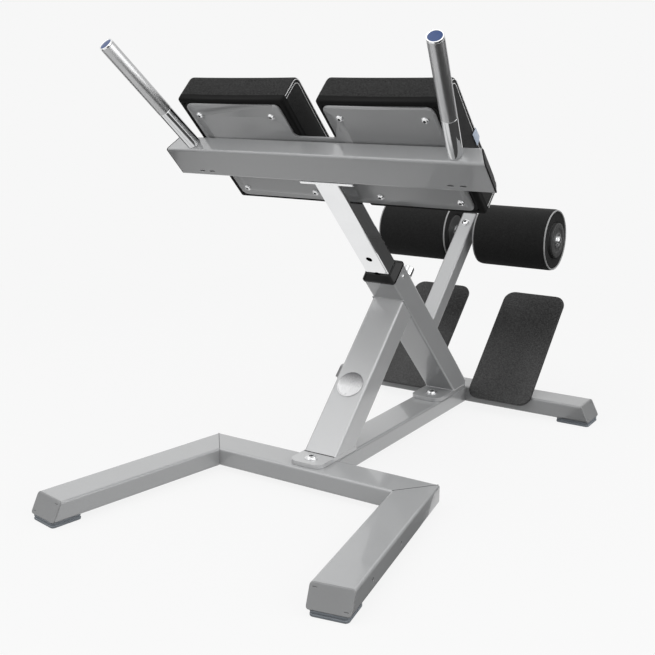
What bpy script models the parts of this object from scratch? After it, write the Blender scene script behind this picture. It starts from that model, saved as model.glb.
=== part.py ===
# Hyperextension bench: a 45 degree back-extension bench with a sliding pad carriage.
# Metres, +Z up. The open legs point to -Y, the cross tube with the foot plates lies at +Y.

from math import atan2, cos, pi, radians, sin, tan

import bmesh
import bpy
from mathutils import Matrix, Vector

# Clearances
GAP = 0.0003             # between pieces that touch
RUNNING_GAP = 0.0003     # between pieces that slide or turn on each other

# Base tubes
TUBE_WIDTH = 0.080
TUBE_HEIGHT = 0.040
TUBE_WALL = 0.0025
TUBE_CORNER = 0.005
CROSSBAR_HALF = 0.2825   # centre line to the outer rear corner
LEG_LENGTH = 0.486       # outer edge of a leg, at its underside, cap included
LEG_SPLAY = radians(10.4)
SPINE_LENGTH = 0.633
REAR_HALF = 0.371        # half length of the rear cross tube at its underside, caps included
END_SLANT = 0.020        # how far the underside stands out past the top at an end
LEG_HOLE_RADIUS = 0.004
LEG_HOLES = (0.240, 0.387)

# End caps
CAP_THICKNESS = 0.003
CAP_ROUND = 0.001
CAP_PLUG_DEPTH = 0.016
CAP_PLUG_WALL = 0.002
CAP_SLOT_LENGTH = 0.008
CAP_SLOT_WIDTH = 0.0012
CAP_SLOT_DEPTH = 0.0015
CAP_SLOT_INSET = 0.006   # from the edges of the face

# Rubber feet
FOOT_HEIGHT = 0.012
FOOT_LENGTH = 0.068
FOOT_INSET = 0.005       # from the tube's side faces
FOOT_END_INSET = 0.0005  # from the cap's lower edge
FOOT_CORNER = 0.006
FOOT_FLARE = 0.0015
FOOT_UPRIGHT = 0.4       # share of its height below the flare

# Base plates and their bolts
BASE_PLATE = 0.009
BASE_PLATE_WIDTH = 0.081
BASE_PLATE_CORNER = 0.020
BASE_PLATE_BACK_CORNER = 0.002
WELD_DEPTH = 0.001       # how far a welded piece reaches into the one that carries it
FRONT_PLATE_START = -0.069
FRONT_PLATE_END = 0.078
FRONT_BOLT_Y = -0.040
REAR_PLATE_START = 0.470
REAR_PLATE_END = 0.626
REAR_BOLT_Y = 0.511
BASE_BOLT_HEAD = 0.0105
BASE_BOLT_SHANK = 0.006
BASE_WASHER_RADIUS = 0.014
BASE_WASHER = 0.0025
BASE_BOLT_BITE = 0.019

# Column and strut
POST_WIDTH = 0.080
POST_DEPTH = 0.060
POST_WALL = 0.0025
POST_CORNER = 0.005
COLUMN_RISE = radians(45.9)
COLUMN_FOOT_Y = 0.557    # where the column's front face meets its base plate
COLUMN_TRIM_Y = 0.624    # upright cut at the column's rear bottom corner
COLUMN_TOP = 0.4625
STRUT_RISE = radians(45.0)
STRUT_FOOT_Y = -0.009    # where the strut's front face meets its base plate

# Badge on the strut
BADGE_RADIUS = 0.031
BADGE_THICKNESS = 0.002
BADGE_RIM = 0.0025
BADGE_EDGE = 0.0006
BADGE_FIELD = 0.0012     # thickness inside the rim
BADGE_HEIGHT = 0.174     # along the strut's front face
RIVET_RADIUS = 0.0025
RIVET_HEIGHT = 0.0015    # above the field
RIVET_SPACING = 0.052

# Collar at the top of the column
COLLAR_OVERHANG = 0.002
COLLAR_RIM = 0.005
COLLAR_TAPER = 0.0145
COLLAR_LIP = 0.0025
SLEEVE_BOTTOM = 0.330

# Locking pin
LOCK_HEIGHT = 0.3705     # along the column
PIN_RADIUS = 0.006
PIN_STEM_RADIUS = 0.0045
PIN_SHOULDER_RADIUS = 0.0075
PIN_SHOULDER = 0.003
PIN_CHAMFER = 0.0018
PIN_TRAVEL = 0.012
PIN_PARK = 0.0005        # between the parked pin and the inner tube
LOCK_HOUSING_RADIUS = 0.0098
LOCK_HOUSING_BORE = 0.008
LOCK_FLANGE_RADIUS = 0.0135
LOCK_FLANGE = 0.004
LOCK_END_WALL = 0.003
SPRING_ROOM = 0.008
SPRING_WIRE = 0.0006     # wire radius
SPRING_TURNS = 4
KNOB_RADIUS = 0.0125
KNOB_BORE = 0.0104
KNOB_SKIRT = 0.024
KNOB_FACE = 0.013
KNOB_EDGE = 0.002

# Inner tube of the carriage
INNER_WIDTH = 0.060
INNER_DEPTH = 0.040
INNER_WALL = 0.003
INNER_CORNER = 0.004
INNER_BOTTOM = 0.240
HOLE_RADIUS = 0.0078
HOLE_PITCH = 0.055
HOLES_ABOVE_LOCK = 3
HOLES_BELOW_LOCK = 1
GLIDE_THICKNESS = 0.012

# Flange plate and top beam
BEAM_BOTTOM = 0.790      # along the column
BEAM_HEIGHT = 0.080
BEAM_DEPTH = 0.040
BEAM_HALF = 0.375        # half length at its front face, caps included
FLANGE_THICKNESS = 0.006
FLANGE_HALF = 0.066
FLANGE_CORNER = 0.004
BEAM_SLOT_STARTS = (0.278, 0.304)
BEAM_SLOT_LENGTH = 0.0143
BEAM_SLOT_HEIGHT = 0.004
BEAM_SLOT_CORNER = 0.0019
BEAM_SLOT_RISE = 0.015   # above the beam's lower edge

# Pad plate
PLATE_THICKNESS = 0.004
PLATE_HALF = 0.2915
PLATE_BOTTOM = 0.681
PLATE_TOP = 0.9645
PLATE_CORNER = 0.014
NOTCH_HALF = 0.051
NOTCH_BOTTOM = 0.878
NOTCH_FILLET = 0.012
PAD_SCREW_INNER = 0.080
PAD_SCREW_OUTER = 0.262
PAD_SCREW_LOW = 0.708
PAD_SCREW_HIGH = 0.935
PAD_SCREW_HEAD = 0.007
PAD_SCREW_SHANK = 0.004
PAD_SCREW_BITE = 0.009

# Pads
PAD_INNER = 0.0375
PAD_OUTER = 0.3035
PAD_BOTTOM = 0.669
PAD_TOP = 0.975
PAD_THICKNESS = 0.0715
PAD_CROWN = 0.0045
PAD_TOP_ROUND = 0.024
PAD_BOTTOM_ROUND = 0.014
PAD_BACK_ROUND = 0.004
PAD_SIDE_ROUND = 0.005
PAD_LEAST_ROUND = 0.0015
PAD_DRAW_IN = 0.0022
SEAM_WIDTH = 0.005
SEAM_DEPTH = 0.0012
BOARD_THICKNESS = 0.012
BOARD_INSET = 0.012
BOARD_CORNER = 0.010

# Handles
HANDLE_RADIUS = 0.015
HANDLE_WALL = 0.0025
HANDLE_INSET = 0.0665    # from the beam's end to the handle's foot
HANDLE_LENGTH = 0.2825
HANDLE_SPLAY = radians(10.6)
HANDLE_CAP = 0.004
HANDLE_CAP_PLUG = 0.012

# Roller arm
ARM_SIZE = 0.040
ARM_WALL = 0.0025
ARM_CORNER = 0.004
ARM_HEIGHT = 0.186       # of its centre line on the column's rear face
ARM_TILT = radians(1.1)  # from square to the column
ARM_LENGTH = 0.350
ARM_PLUG = 0.004
AXLE_REACH = 0.3196      # along the arm
AXLE_DROP = 0.0226       # from the arm's centre line to the axle's
AXLE_RADIUS = 0.0125
AXLE_HALF = 0.2325
AXLE_BOLT_HEAD = 0.009
AXLE_BOLT_SHANK = 0.004
AXLE_BOLT_BITE = 0.008
SPACER_RADIUS = 0.0175
SPACER_WASHER = 0.0035
NUT_APOTHEM = 0.0152

# Rollers
ROLLER_INNER = 0.0415
ROLLER_OUTER = 0.232
ROLLER_RADIUS = 0.078
ROLLER_CROWN = 0.0015
ROLLER_EDGE = 0.004
PIPING_CENTRE = 0.0735
PIPING_RADIUS = 0.0018
CORE_WALL = 0.004
HUB_RADIUS = 0.043
HUB_THICKNESS = 0.005
HUB_STEP = 0.002
HUB_DISH_OUT = 0.62      # the dish's rim, as a share of the hub's radius
HUB_DISH_IN = 0.58
END_WASHER_RADIUS = 0.018
END_WASHER = 0.003
END_BOLT_HEAD = 0.010
END_BOLT_SHANK = 0.005
END_BOLT_BITE = 0.025

# Foot plates
FOOT_PLATE_INNER = 0.053
FOOT_PLATE_OUTER = 0.2227
FOOT_PLATE_LENGTH = 0.338
FOOT_PLATE_THICKNESS = 0.005
FOOT_PLATE_CORNER = 0.028
FOOT_PLATE_RISE = radians(44.5)
FOOT_PLATE_Y = 0.605     # lower edge of its front face
FOOT_PLATE_Z = 0.037
GUSSET_THICKNESS = 0.006
GUSSET_INSET = 0.035
GUSSET_REACH = 0.190     # along the foot plate
GUSSET_EDGE = 0.007      # from the edges of the tube's top face

# Button-head screws, as shares of the head's radius or height
SCREW_HEIGHT = 0.62
SCREW_SOCKET = 0.42
SCREW_FLANK = 0.4
SCREW_CROWN = 0.75
SOCKET_FLOOR = 0.35
WASHER_EASE = 0.25       # share of the washer's thickness

# Small breaks on edges that would be sharp
EASE = 0.001

# Facets
CORNER_STEPS = 3
PLATE_STEPS = 6
PAD_CORNER_STEPS = 4
PAD_SIDE_POINTS = (3, 7, 3, 0)   # between the corners, on the bottom, front, top and back
PAD_STATIONS = 4                 # from the pad's middle to its edge
ROUND_STEPS = 20
SCREW_STEPS = 12
PIN_STEPS = 16
BADGE_STEPS = 24
ROLLER_STEPS = 28
ROLLER_STATIONS = 6
SPRING_STEPS = 10
WIRE_STEPS = 5
BEND_STEPS = 8

# Worked out from the sizes above
TUBE_TOP = FOOT_HEIGHT + TUBE_HEIGHT
PLATE_LEVEL = TUBE_TOP + GAP + BASE_PLATE
MITRE = tan(pi / 4 - LEG_SPLAY / 2)
HALF_DEPTH = POST_DEPTH / 2
HOLE_HEIGHTS = [LOCK_HEIGHT + HOLE_PITCH * step for step in range(-HOLES_BELOW_LOCK, HOLES_ABOVE_LOCK + 1)]
INNER_TOP = BEAM_BOTTOM - FLANGE_THICKNESS - 2 * GAP
PLATE_FRONT = BEAM_DEPTH / 2 + GAP
PLATE_BACK = PLATE_FRONT + PLATE_THICKNESS
PAD_BACK = PLATE_BACK + GAP
CORE_BORE = AXLE_RADIUS + RUNNING_GAP
CORE_RADIUS = CORE_BORE + CORE_WALL
HANDLE_X = BEAM_HALF - HANDLE_INSET
ARC_SHARE = 1 - cos(pi / 4)      # where the middle point of a rounding lies

FINISHES = {
    "silver_paint": ((0.36, 0.37, 0.38), 0.35, 0.6),
    "plate_paint": ((0.22, 0.225, 0.23), 0.4, 0.6),
    "polished": ((0.75, 0.76, 0.77), 0.12, 1.0),
    "knurled_steel": ((0.45, 0.46, 0.47), 0.35, 1.0),
    "zinc": ((0.6, 0.61, 0.62), 0.25, 1.0),
    "black_plastic": ((0.02, 0.02, 0.022), 0.5, 0.0),
    "grey_plastic": ((0.27, 0.28, 0.29), 0.5, 0.0),
    "blue_plastic": ((0.05, 0.15, 0.4), 0.3, 0.0),
    "foot_rubber": ((0.16, 0.18, 0.21), 0.8, 0.0),
    "pad_cover": ((0.045, 0.045, 0.048), 0.75, 0.0),
    "roller_cover": ((0.02, 0.02, 0.022), 0.7, 0.0),
    "board_black": ((0.015, 0.015, 0.016), 0.8, 0.0),
    "grip_coat": ((0.04, 0.04, 0.043), 0.85, 0.0),
}


# Scene and objects

def clear_scene():
    for obj in list(bpy.data.objects):
        bpy.data.objects.remove(obj, do_unlink=True)


def add_frame(name, parent=None, location=(0, 0, 0), turn=(0, 0, 0)):
    frame = bpy.data.objects.new(name, None)
    frame.empty_display_size = 0.05
    frame.location = location
    frame.rotation_euler = turn
    frame.parent = parent
    bpy.context.collection.objects.link(frame)
    return frame


def add_material(name, finish):
    colour, roughness, metallic = FINISHES[finish]
    material = bpy.data.materials.new(name + "_finish")
    material.use_nodes = True
    shader = material.node_tree.nodes["Principled BSDF"]
    shader.inputs["Base Color"].default_value = (*colour, 1)
    shader.inputs["Roughness"].default_value = roughness
    shader.inputs["Metallic"].default_value = metallic
    material.diffuse_color = (*colour, 1)
    return material


def add_object(name, bm, parent, finish):
    bmesh.ops.recalc_face_normals(bm, faces=bm.faces)
    mesh = bpy.data.meshes.new(name)
    bm.to_mesh(mesh)
    bm.free()
    mesh.shade_smooth()
    mesh.set_sharp_from_angle(angle=radians(35))
    obj = bpy.data.objects.new(name, mesh)
    obj.parent = parent
    bpy.context.collection.objects.link(obj)
    if finish:
        mesh.materials.append(add_material(name, finish))
    return obj


def combine(obj, bm, operation):
    # The helper solid shares the frame of the piece that it works on, and isn't part of the bench.
    helper = add_object(f"{obj.name}_helper_{len(obj.modifiers)}", bm, obj.parent, None)
    helper.hide_render = True
    helper.display_type = "WIRE"
    boolean = obj.modifiers.new(operation.lower(), "BOOLEAN")
    boolean.operation = operation
    boolean.solver = "EXACT"
    boolean.object = helper


def cut(obj, bm):
    combine(obj, bm, "DIFFERENCE")


def weld(obj, bm):
    combine(obj, bm, "UNION")


# Outlines, each a list of points in a plane, anticlockwise

def arc(centre, radius, start, end, steps):
    points = []
    for step in range(steps + 1):
        angle = start + (end - start) * step / steps
        points.append((centre[0] + radius * cos(angle), centre[1] + radius * sin(angle)))
    return points


def rounded_box(low, high, radii, steps=CORNER_STEPS):
    # The radii go round from the low corner: low-low, high-low, high-high, low-high.
    if not isinstance(radii, tuple):
        radii = (radii,) * 4
    corners = (
        (low[0], low[1], 1, 1), (high[0], low[1], -1, 1),
        (high[0], high[1], -1, -1), (low[0], high[1], 1, -1),
    )
    points = []
    for index, (a, b, inward_a, inward_b) in enumerate(corners):
        radius = radii[index]
        centre = (a + inward_a * radius, b + inward_b * radius)
        start = pi + index * pi / 2
        points += arc(centre, radius, start, start + pi / 2, steps)
    return points


def centred_box(width, height, radius, steps=CORNER_STEPS):
    return rounded_box((-width / 2, -height / 2), (width / 2, height / 2), radius, steps)


def circle(radius, steps=ROUND_STEPS):
    angles = [2 * pi * step / steps for step in range(steps)]
    return [(radius * cos(angle), radius * sin(angle)) for angle in angles]


def hexagon(apothem, steps=SCREW_STEPS):
    points = []
    for step in range(steps):
        angle = 2 * pi * step / steps
        off_flat = angle % (pi / 3) - pi / 6
        radius = apothem / cos(off_flat)
        points.append((radius * cos(angle), radius * sin(angle)))
    return points


def fillet(before, corner, after, radius, steps=CORNER_STEPS):
    # An arc that rounds one corner of an outline, whichever way it turns.
    corner = Vector(corner)
    to_before = (Vector(before) - corner).normalized()
    to_after = (Vector(after) - corner).normalized()
    half = to_before.angle(to_after) / 2
    centre = corner + (to_before + to_after).normalized() * radius / sin(half)
    first = corner + to_before * radius / tan(half) - centre
    last = corner + to_after * radius / tan(half) - centre
    start = atan2(first.y, first.x)
    sweep = (atan2(last.y, last.x) - start + pi) % (2 * pi) - pi
    return arc(centre, radius, start, start + sweep, steps)


# Solids

def loft(bm, rings, closed=False):
    # Joins rings of equal point count; the end rings are filled unless the loft closes on itself.
    vertex_rings = [[bm.verts.new(point) for point in ring] for ring in rings]
    count = len(rings[0])
    pairs = list(zip(vertex_rings, vertex_rings[1:]))
    if closed:
        pairs.append((vertex_rings[-1], vertex_rings[0]))
    else:
        bm.faces.new(vertex_rings[0])
        bm.faces.new(vertex_rings[-1])
    for first, second in pairs:
        for index in range(count):
            after = (index + 1) % count
            bm.faces.new((first[index], first[after], second[after], second[index]))


def turned(bm, profile, matrix, steps=ROUND_STEPS, closed=False):
    # Profile points are (radius, distance along the local Z axis); a zero radius closes an end.
    rings = []
    tips = {}
    for index, (radius, height) in enumerate(profile):
        if radius == 0:
            tips[index] = bm.verts.new(matrix @ Vector((0, 0, height)))
            rings.append(None)
        else:
            rings.append([bm.verts.new(matrix @ Vector((a, b, height))) for a, b in circle(radius, steps)])
    last = len(profile) if closed else len(profile) - 1
    for index in range(last):
        other = (index + 1) % len(profile)
        for step in range(steps):
            after = (step + 1) % steps
            if rings[index] is None:
                bm.faces.new((tips[index], rings[other][after], rings[other][step]))
            elif rings[other] is None:
                bm.faces.new((rings[index][step], rings[index][after], tips[other]))
            else:
                corners = (rings[index][step], rings[index][after], rings[other][after], rings[other][step])
                bm.faces.new(corners)


def toward(axis, centre=(0, 0, 0)):
    # A matrix whose Z axis points along the given direction.
    return Matrix.Translation(Vector(centre)) @ Vector(axis).to_track_quat("Z", "Y").to_matrix().to_4x4()


def hollow_bar(name, outer, inner, place, start, end, parent, finish):
    # place(a, b, c) puts the section point (a, b) at distance c; start and end give c for each point.
    bm = bmesh.new()
    rings = [
        [place(a, b, start(a, b)) for a, b in outer],
        [place(a, b, end(a, b)) for a, b in outer],
        [place(a, b, end(a, b)) for a, b in inner],
        [place(a, b, start(a, b)) for a, b in inner],
    ]
    loft(bm, rings, closed=True)
    return add_object(name, bm, parent, finish)


def sheet(bm, outline, place, low, high):
    loft(bm, [[place(a, b, c) for a, b in outline] for c in (low, high)])


def pegs(holes, radius, steps=SCREW_STEPS):
    # Round cutters, each from one point to another.
    bm = bmesh.new()
    for start, end in holes:
        start = Vector(start)
        along = Vector(end) - start
        profile = [(0, 0), (radius, 0), (radius, along.length), (0, along.length)]
        turned(bm, profile, toward(along, start), steps)
    return bm


def add_screw(name, centre, outward, head, shank, bite, parent, washer_radius=0, washer=0):
    # A button head with a hexagon socket, and a washer that stays on it where it has one.
    # The centre is the seat, and outward points from there to the head.
    height = head * SCREW_HEIGHT
    socket = head * SCREW_SOCKET
    stations = [(circle(shank, SCREW_STEPS), -bite), (circle(shank, SCREW_STEPS), 0)]
    if washer:
        edge = washer * WASHER_EASE
        stations += [
            (circle(washer_radius, SCREW_STEPS), 0),
            (circle(washer_radius, SCREW_STEPS), washer - edge),
            (circle(washer_radius - edge, SCREW_STEPS), washer),
        ]
    stations += [
        (circle(head, SCREW_STEPS), washer),
        (circle(head, SCREW_STEPS), washer + height * SCREW_FLANK),
        (circle(head * SCREW_CROWN, SCREW_STEPS), washer + height),
        (hexagon(socket), washer + height),
        (hexagon(socket), washer + height * SOCKET_FLOOR),
    ]
    matrix = toward(outward, centre)
    bm = bmesh.new()
    loft(bm, [[matrix @ Vector((a, b, c)) for a, b in outline] for outline, c in stations])
    add_object(name, bm, parent, "zinc")


def end_cap(name, section, inner, place, end, parent, finish):
    # A moulded cap: a rounded face over the tube's end and a hollow plug inside it.
    def scaled(points, inset):
        wide = max(a for a, b in points)
        narrow = min(a for a, b in points)
        high = max(b for a, b in points)
        low = min(b for a, b in points)
        mid_a, mid_b = (wide + narrow) / 2, (high + low) / 2
        factor_a = 1 - 2 * inset / (wide - narrow)
        factor_b = 1 - 2 * inset / (high - low)
        return [(mid_a + (a - mid_a) * factor_a, mid_b + (b - mid_b) * factor_b) for a, b in points]

    plug = scaled(inner, GAP)
    bore = scaled(inner, GAP + CAP_PLUG_WALL)
    back = CAP_THICKNESS
    tip = CAP_THICKNESS + CAP_PLUG_DEPTH
    stations = (
        (scaled(section, CAP_ROUND), 0),
        (section, CAP_ROUND),
        (section, back),
        (plug, back),
        (plug, tip),
        (bore, tip),
        (bore, back),
    )
    bm = bmesh.new()
    loft(bm, [[place(a, b, end(a, b, depth)) for a, b in points] for points, depth in stations])
    cap = add_object(name, bm, parent, finish)
    cut(cap, cap_slots(section, place, end))


def cap_slots(section, place, end):
    # Two shallow slots at opposite corners of the face, where a blade lifts the cap out.
    low_a, high_a = min(a for a, b in section), max(a for a, b in section)
    low_b, high_b = min(b for a, b in section), max(b for a, b in section)
    starts = (
        (low_a + CAP_SLOT_INSET, low_b + CAP_SLOT_INSET),
        (high_a - CAP_SLOT_INSET - CAP_SLOT_LENGTH, high_b - CAP_SLOT_INSET - CAP_SLOT_WIDTH),
    )
    bm = bmesh.new()
    for a, b in starts:
        far_a, far_b = a + CAP_SLOT_LENGTH, b + CAP_SLOT_WIDTH
        corners = [(a, b), (far_a, b), (far_a, far_b), (a, far_b)]
        depths = (-CAP_SLOT_DEPTH, CAP_SLOT_DEPTH)
        loft(bm, [[place(x, y, end(x, y, depth)) for x, y in corners] for depth in depths])
    return bm


# Base

def base_section(low_a, high_a):
    # The tube's section with its inner outline; b runs up from the tube's underside.
    outer = rounded_box((low_a, FOOT_HEIGHT), (high_a, TUBE_TOP), TUBE_CORNER)
    inner = rounded_box(
        (low_a + TUBE_WALL, FOOT_HEIGHT + TUBE_WALL),
        (high_a - TUBE_WALL, TUBE_TOP - TUBE_WALL),
        TUBE_CORNER - TUBE_WALL,
    )
    return outer, inner


def slant(b):
    # How far an end stands back from its lower edge at height b.
    return END_SLANT * (b - FOOT_HEIGHT) / TUBE_HEIGHT


def build_crossbar(bench):
    outer, inner = base_section(-TUBE_WIDTH, 0)

    def end_at(a, b):
        return CROSSBAR_HALF + a * MITRE - GAP / 2

    obj = hollow_bar(
        "front_crossbar", outer, inner, lambda a, b, c: (c, a, b),
        lambda a, b: -end_at(a, b), end_at, bench, "silver_paint")
    cut(obj, bolt_hole(FRONT_BOLT_Y))


def bolt_hole(y):
    # Through a tube's top wall.
    low, high = TUBE_TOP - TUBE_HEIGHT / 2, PLATE_LEVEL + BASE_PLATE
    return pegs([((0, y, low), (0, y, high))], BASE_BOLT_SHANK + GAP)


def foot_solid(bm, place, start, end, low, high):
    # Flared towards the floor, where it stands; a and b run along and across the tube.
    top = FOOT_HEIGHT - GAP
    wide = rounded_box((start, low), (end, high), FOOT_CORNER)
    flare = FOOT_FLARE
    drawn_in = rounded_box((start + flare, low + flare), (end - flare, high - flare), FOOT_CORNER)
    outlines = ((wide, 0), (wide, top * FOOT_UPRIGHT), (drawn_in, top))
    loft(bm, [[place(a, b, c) for a, b in points] for points, c in outlines])


def build_leg(bench, side, label):
    corner = add_frame(f"{label}_leg_frame", bench, (side * CROSSBAR_HALF, 0, 0), (0, 0, side * LEG_SPLAY))
    outer, inner = base_section(0, TUBE_WIDTH)

    # a runs inwards from the leg's outer face, c runs along the leg.
    def place(a, b, c):
        return (-side * a, -c, b)

    def mitred(a, b):
        return a * MITRE + GAP / 2

    leg = hollow_bar(
        f"{label}_front_leg", outer, inner, place, mitred,
        lambda a, b: LEG_LENGTH - CAP_THICKNESS - slant(b), corner, "silver_paint")
    middle = FOOT_HEIGHT + TUBE_HEIGHT / 2
    outside = -LEG_HOLE_RADIUS
    holes = [(place(outside, middle, along), place(TUBE_WIDTH / 2, middle, along)) for along in LEG_HOLES]
    cut(leg, pegs(holes, LEG_HOLE_RADIUS))
    end_cap(
        f"{label}_front_end_cap", outer, inner, place,
        lambda a, b, depth: LEG_LENGTH + GAP - slant(b) - depth, corner, "grey_plastic")
    bm = bmesh.new()
    end = LEG_LENGTH - FOOT_END_INSET
    foot_solid(
        bm, lambda along, across, c: place(across, c, along), end - FOOT_LENGTH, end,
        FOOT_INSET, TUBE_WIDTH - FOOT_INSET)
    add_object(f"{label}_front_foot", bm, corner, "foot_rubber")


def build_spine(bench):
    outer, inner = base_section(-TUBE_WIDTH / 2, TUBE_WIDTH / 2)
    spine = hollow_bar(
        "spine_tube", outer, inner, lambda a, b, c: (a, c, b),
        lambda a, b: GAP, lambda a, b: SPINE_LENGTH - GAP, bench, "silver_paint")
    cut(spine, bolt_hole(REAR_BOLT_Y))


def build_rear_tube(bench):
    outer, inner = base_section(SPINE_LENGTH, SPINE_LENGTH + TUBE_WIDTH)

    def end_at(a, b):
        return REAR_HALF - CAP_THICKNESS - slant(b)

    hollow_bar(
        "rear_cross_tube", outer, inner, lambda a, b, c: (c, a, b),
        lambda a, b: -end_at(a, b), end_at, bench, "silver_paint")
    for side, label in ((-1, "left"), (1, "right")):
        end_cap(
            f"{label}_rear_end_cap", outer, inner, lambda a, b, c: (side * c, a, b),
            lambda a, b, depth: REAR_HALF + GAP - slant(b) - depth, bench, "grey_plastic")
        bm = bmesh.new()
        end = REAR_HALF - FOOT_END_INSET
        foot_solid(
            bm, lambda along, across, c: (side * along, across, c), end - FOOT_LENGTH, end,
            SPINE_LENGTH + FOOT_INSET, SPINE_LENGTH + TUBE_WIDTH - FOOT_INSET)
        add_object(f"{label}_rear_foot", bm, bench, "foot_rubber")


def weld_base_plate(post, start, end, bolt_y):
    # Round corners at the front, square ones under the tube that stands on it.
    half = BASE_PLATE_WIDTH / 2
    to_local = post.parent.matrix_basis.inverted()
    radii = (BASE_PLATE_CORNER, BASE_PLATE_CORNER, BASE_PLATE_BACK_CORNER, BASE_PLATE_BACK_CORNER)
    outline = rounded_box((-half, start), (half, end), radii, PLATE_STEPS)
    bm = bmesh.new()
    sheet(bm, outline, lambda a, b, c: to_local @ Vector((a, b, c)), TUBE_TOP + GAP, PLATE_LEVEL)
    weld(post, bm)
    hole = bolt_hole(bolt_y)
    bmesh.ops.transform(hole, matrix=to_local, verts=hole.verts)
    cut(post, hole)


def build_base_bolts(bench):
    for y, label in ((FRONT_BOLT_Y, "front"), (REAR_BOLT_Y, "rear")):
        add_screw(
            f"{label}_base_bolt", (0, y, PLATE_LEVEL + GAP), (0, 0, 1), BASE_BOLT_HEAD, BASE_BOLT_SHANK,
            BASE_BOLT_BITE, bench, BASE_WASHER_RADIUS, BASE_WASHER)


# Column and strut

def add_column_frame(bench):
    # Local Z climbs along the column's centre line, local Y points to the rollers.
    place = (
        0,
        COLUMN_FOOT_Y + HALF_DEPTH * sin(COLUMN_RISE),
        PLATE_LEVEL + HALF_DEPTH * cos(COLUMN_RISE),
    )
    return add_frame("column_frame", bench, place, (pi / 2 - COLUMN_RISE, 0, 0))


def post_sections():
    outer = centred_box(POST_WIDTH, POST_DEPTH, POST_CORNER)
    inner = centred_box(POST_WIDTH - 2 * POST_WALL, POST_DEPTH - 2 * POST_WALL, POST_CORNER - POST_WALL)
    return outer, inner


def pin_hole(start):
    # The locking pin's way in, through one wall.
    return pegs([((0, start, LOCK_HEIGHT), (0, POST_DEPTH, LOCK_HEIGHT))], PIN_RADIUS + RUNNING_GAP)


def build_column(column):
    outer, inner = post_sections()

    # The foot is level and welded into the base plate.
    def foot(a, b):
        return -(b + HALF_DEPTH) / tan(COLUMN_RISE) - WELD_DEPTH / sin(COLUMN_RISE)

    obj = hollow_bar(
        "outer_column", outer, inner, lambda a, b, c: (a, b, c),
        foot, lambda a, b: COLUMN_TOP, column, "silver_paint")

    # An upright cut takes off the rear bottom corner.
    to_local = column.matrix_basis.inverted()
    wide = POST_WIDTH
    reach = 2 * POST_DEPTH
    low = PLATE_LEVEL - POST_DEPTH
    near, far = COLUMN_TRIM_Y, COLUMN_TRIM_Y + reach
    bm = bmesh.new()
    square = [(-wide, near), (wide, near), (wide, far), (-wide, far)]
    sheet(bm, square, lambda a, b, c: to_local @ Vector((a, b, c)), low, low + reach)
    cut(obj, bm)
    cut(obj, pin_hole(POST_DEPTH / 4))
    weld_base_plate(obj, REAR_PLATE_START, REAR_PLATE_END, REAR_BOLT_Y)


def build_collar(column):
    # A moulded guide: a sleeve inside the column, a rim on its end and a taper up to the inner tube.
    cavity_width = POST_WIDTH - 2 * POST_WALL - 2 * GAP
    cavity_depth = POST_DEPTH - 2 * POST_WALL - 2 * GAP
    bore_width = INNER_WIDTH + 2 * RUNNING_GAP
    bore_depth = INNER_DEPTH + 2 * RUNNING_GAP
    rim_low = COLUMN_TOP + GAP
    rim_high = rim_low + COLLAR_RIM
    top = rim_high + COLLAR_TAPER
    sleeve = centred_box(cavity_width, cavity_depth, POST_CORNER - POST_WALL)
    overhang = 2 * COLLAR_OVERHANG
    rim = centred_box(POST_WIDTH + overhang, POST_DEPTH + overhang, POST_CORNER + COLLAR_OVERHANG)
    lip = centred_box(bore_width + 2 * COLLAR_LIP, bore_depth + 2 * COLLAR_LIP, INNER_CORNER + COLLAR_LIP)
    bore = centred_box(bore_width, bore_depth, INNER_CORNER)
    stations = (
        (sleeve, SLEEVE_BOTTOM), (sleeve, rim_low), (rim, rim_low), (rim, rim_high),
        (lip, top), (bore, top), (bore, SLEEVE_BOTTOM),
    )
    bm = bmesh.new()
    loft(bm, [[(a, b, c) for a, b in points] for points, c in stations], closed=True)
    obj = add_object("column_collar", bm, column, "black_plastic")
    cut(obj, pin_hole(INNER_DEPTH / 4))


def build_strut(bench):
    # Local Z climbs along the strut's front face, local Y points through it to its rear face.
    frame = add_frame(
        "strut_frame", bench, (0, STRUT_FOOT_Y, PLATE_LEVEL), (STRUT_RISE - pi / 2, 0, 0))
    outer, inner = post_sections()

    def foot(a, b):
        return (b + HALF_DEPTH) / tan(STRUT_RISE) - WELD_DEPTH / sin(STRUT_RISE)

    # The top lies against the column's front face.
    across = (COLUMN_FOOT_Y - STRUT_FOOT_Y) * sin(COLUMN_RISE)
    along_normal = sin(STRUT_RISE + COLUMN_RISE)
    depth_normal = -cos(STRUT_RISE + COLUMN_RISE)

    def head(a, b):
        return (across - GAP - (b + HALF_DEPTH) * depth_normal) / along_normal

    strut = hollow_bar(
        "front_strut", outer, inner, lambda a, b, c: (a, b + HALF_DEPTH, c),
        foot, head, frame, "silver_paint")
    weld_base_plate(strut, FRONT_PLATE_START, FRONT_PLATE_END, FRONT_BOLT_Y)
    build_badge(frame)


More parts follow.
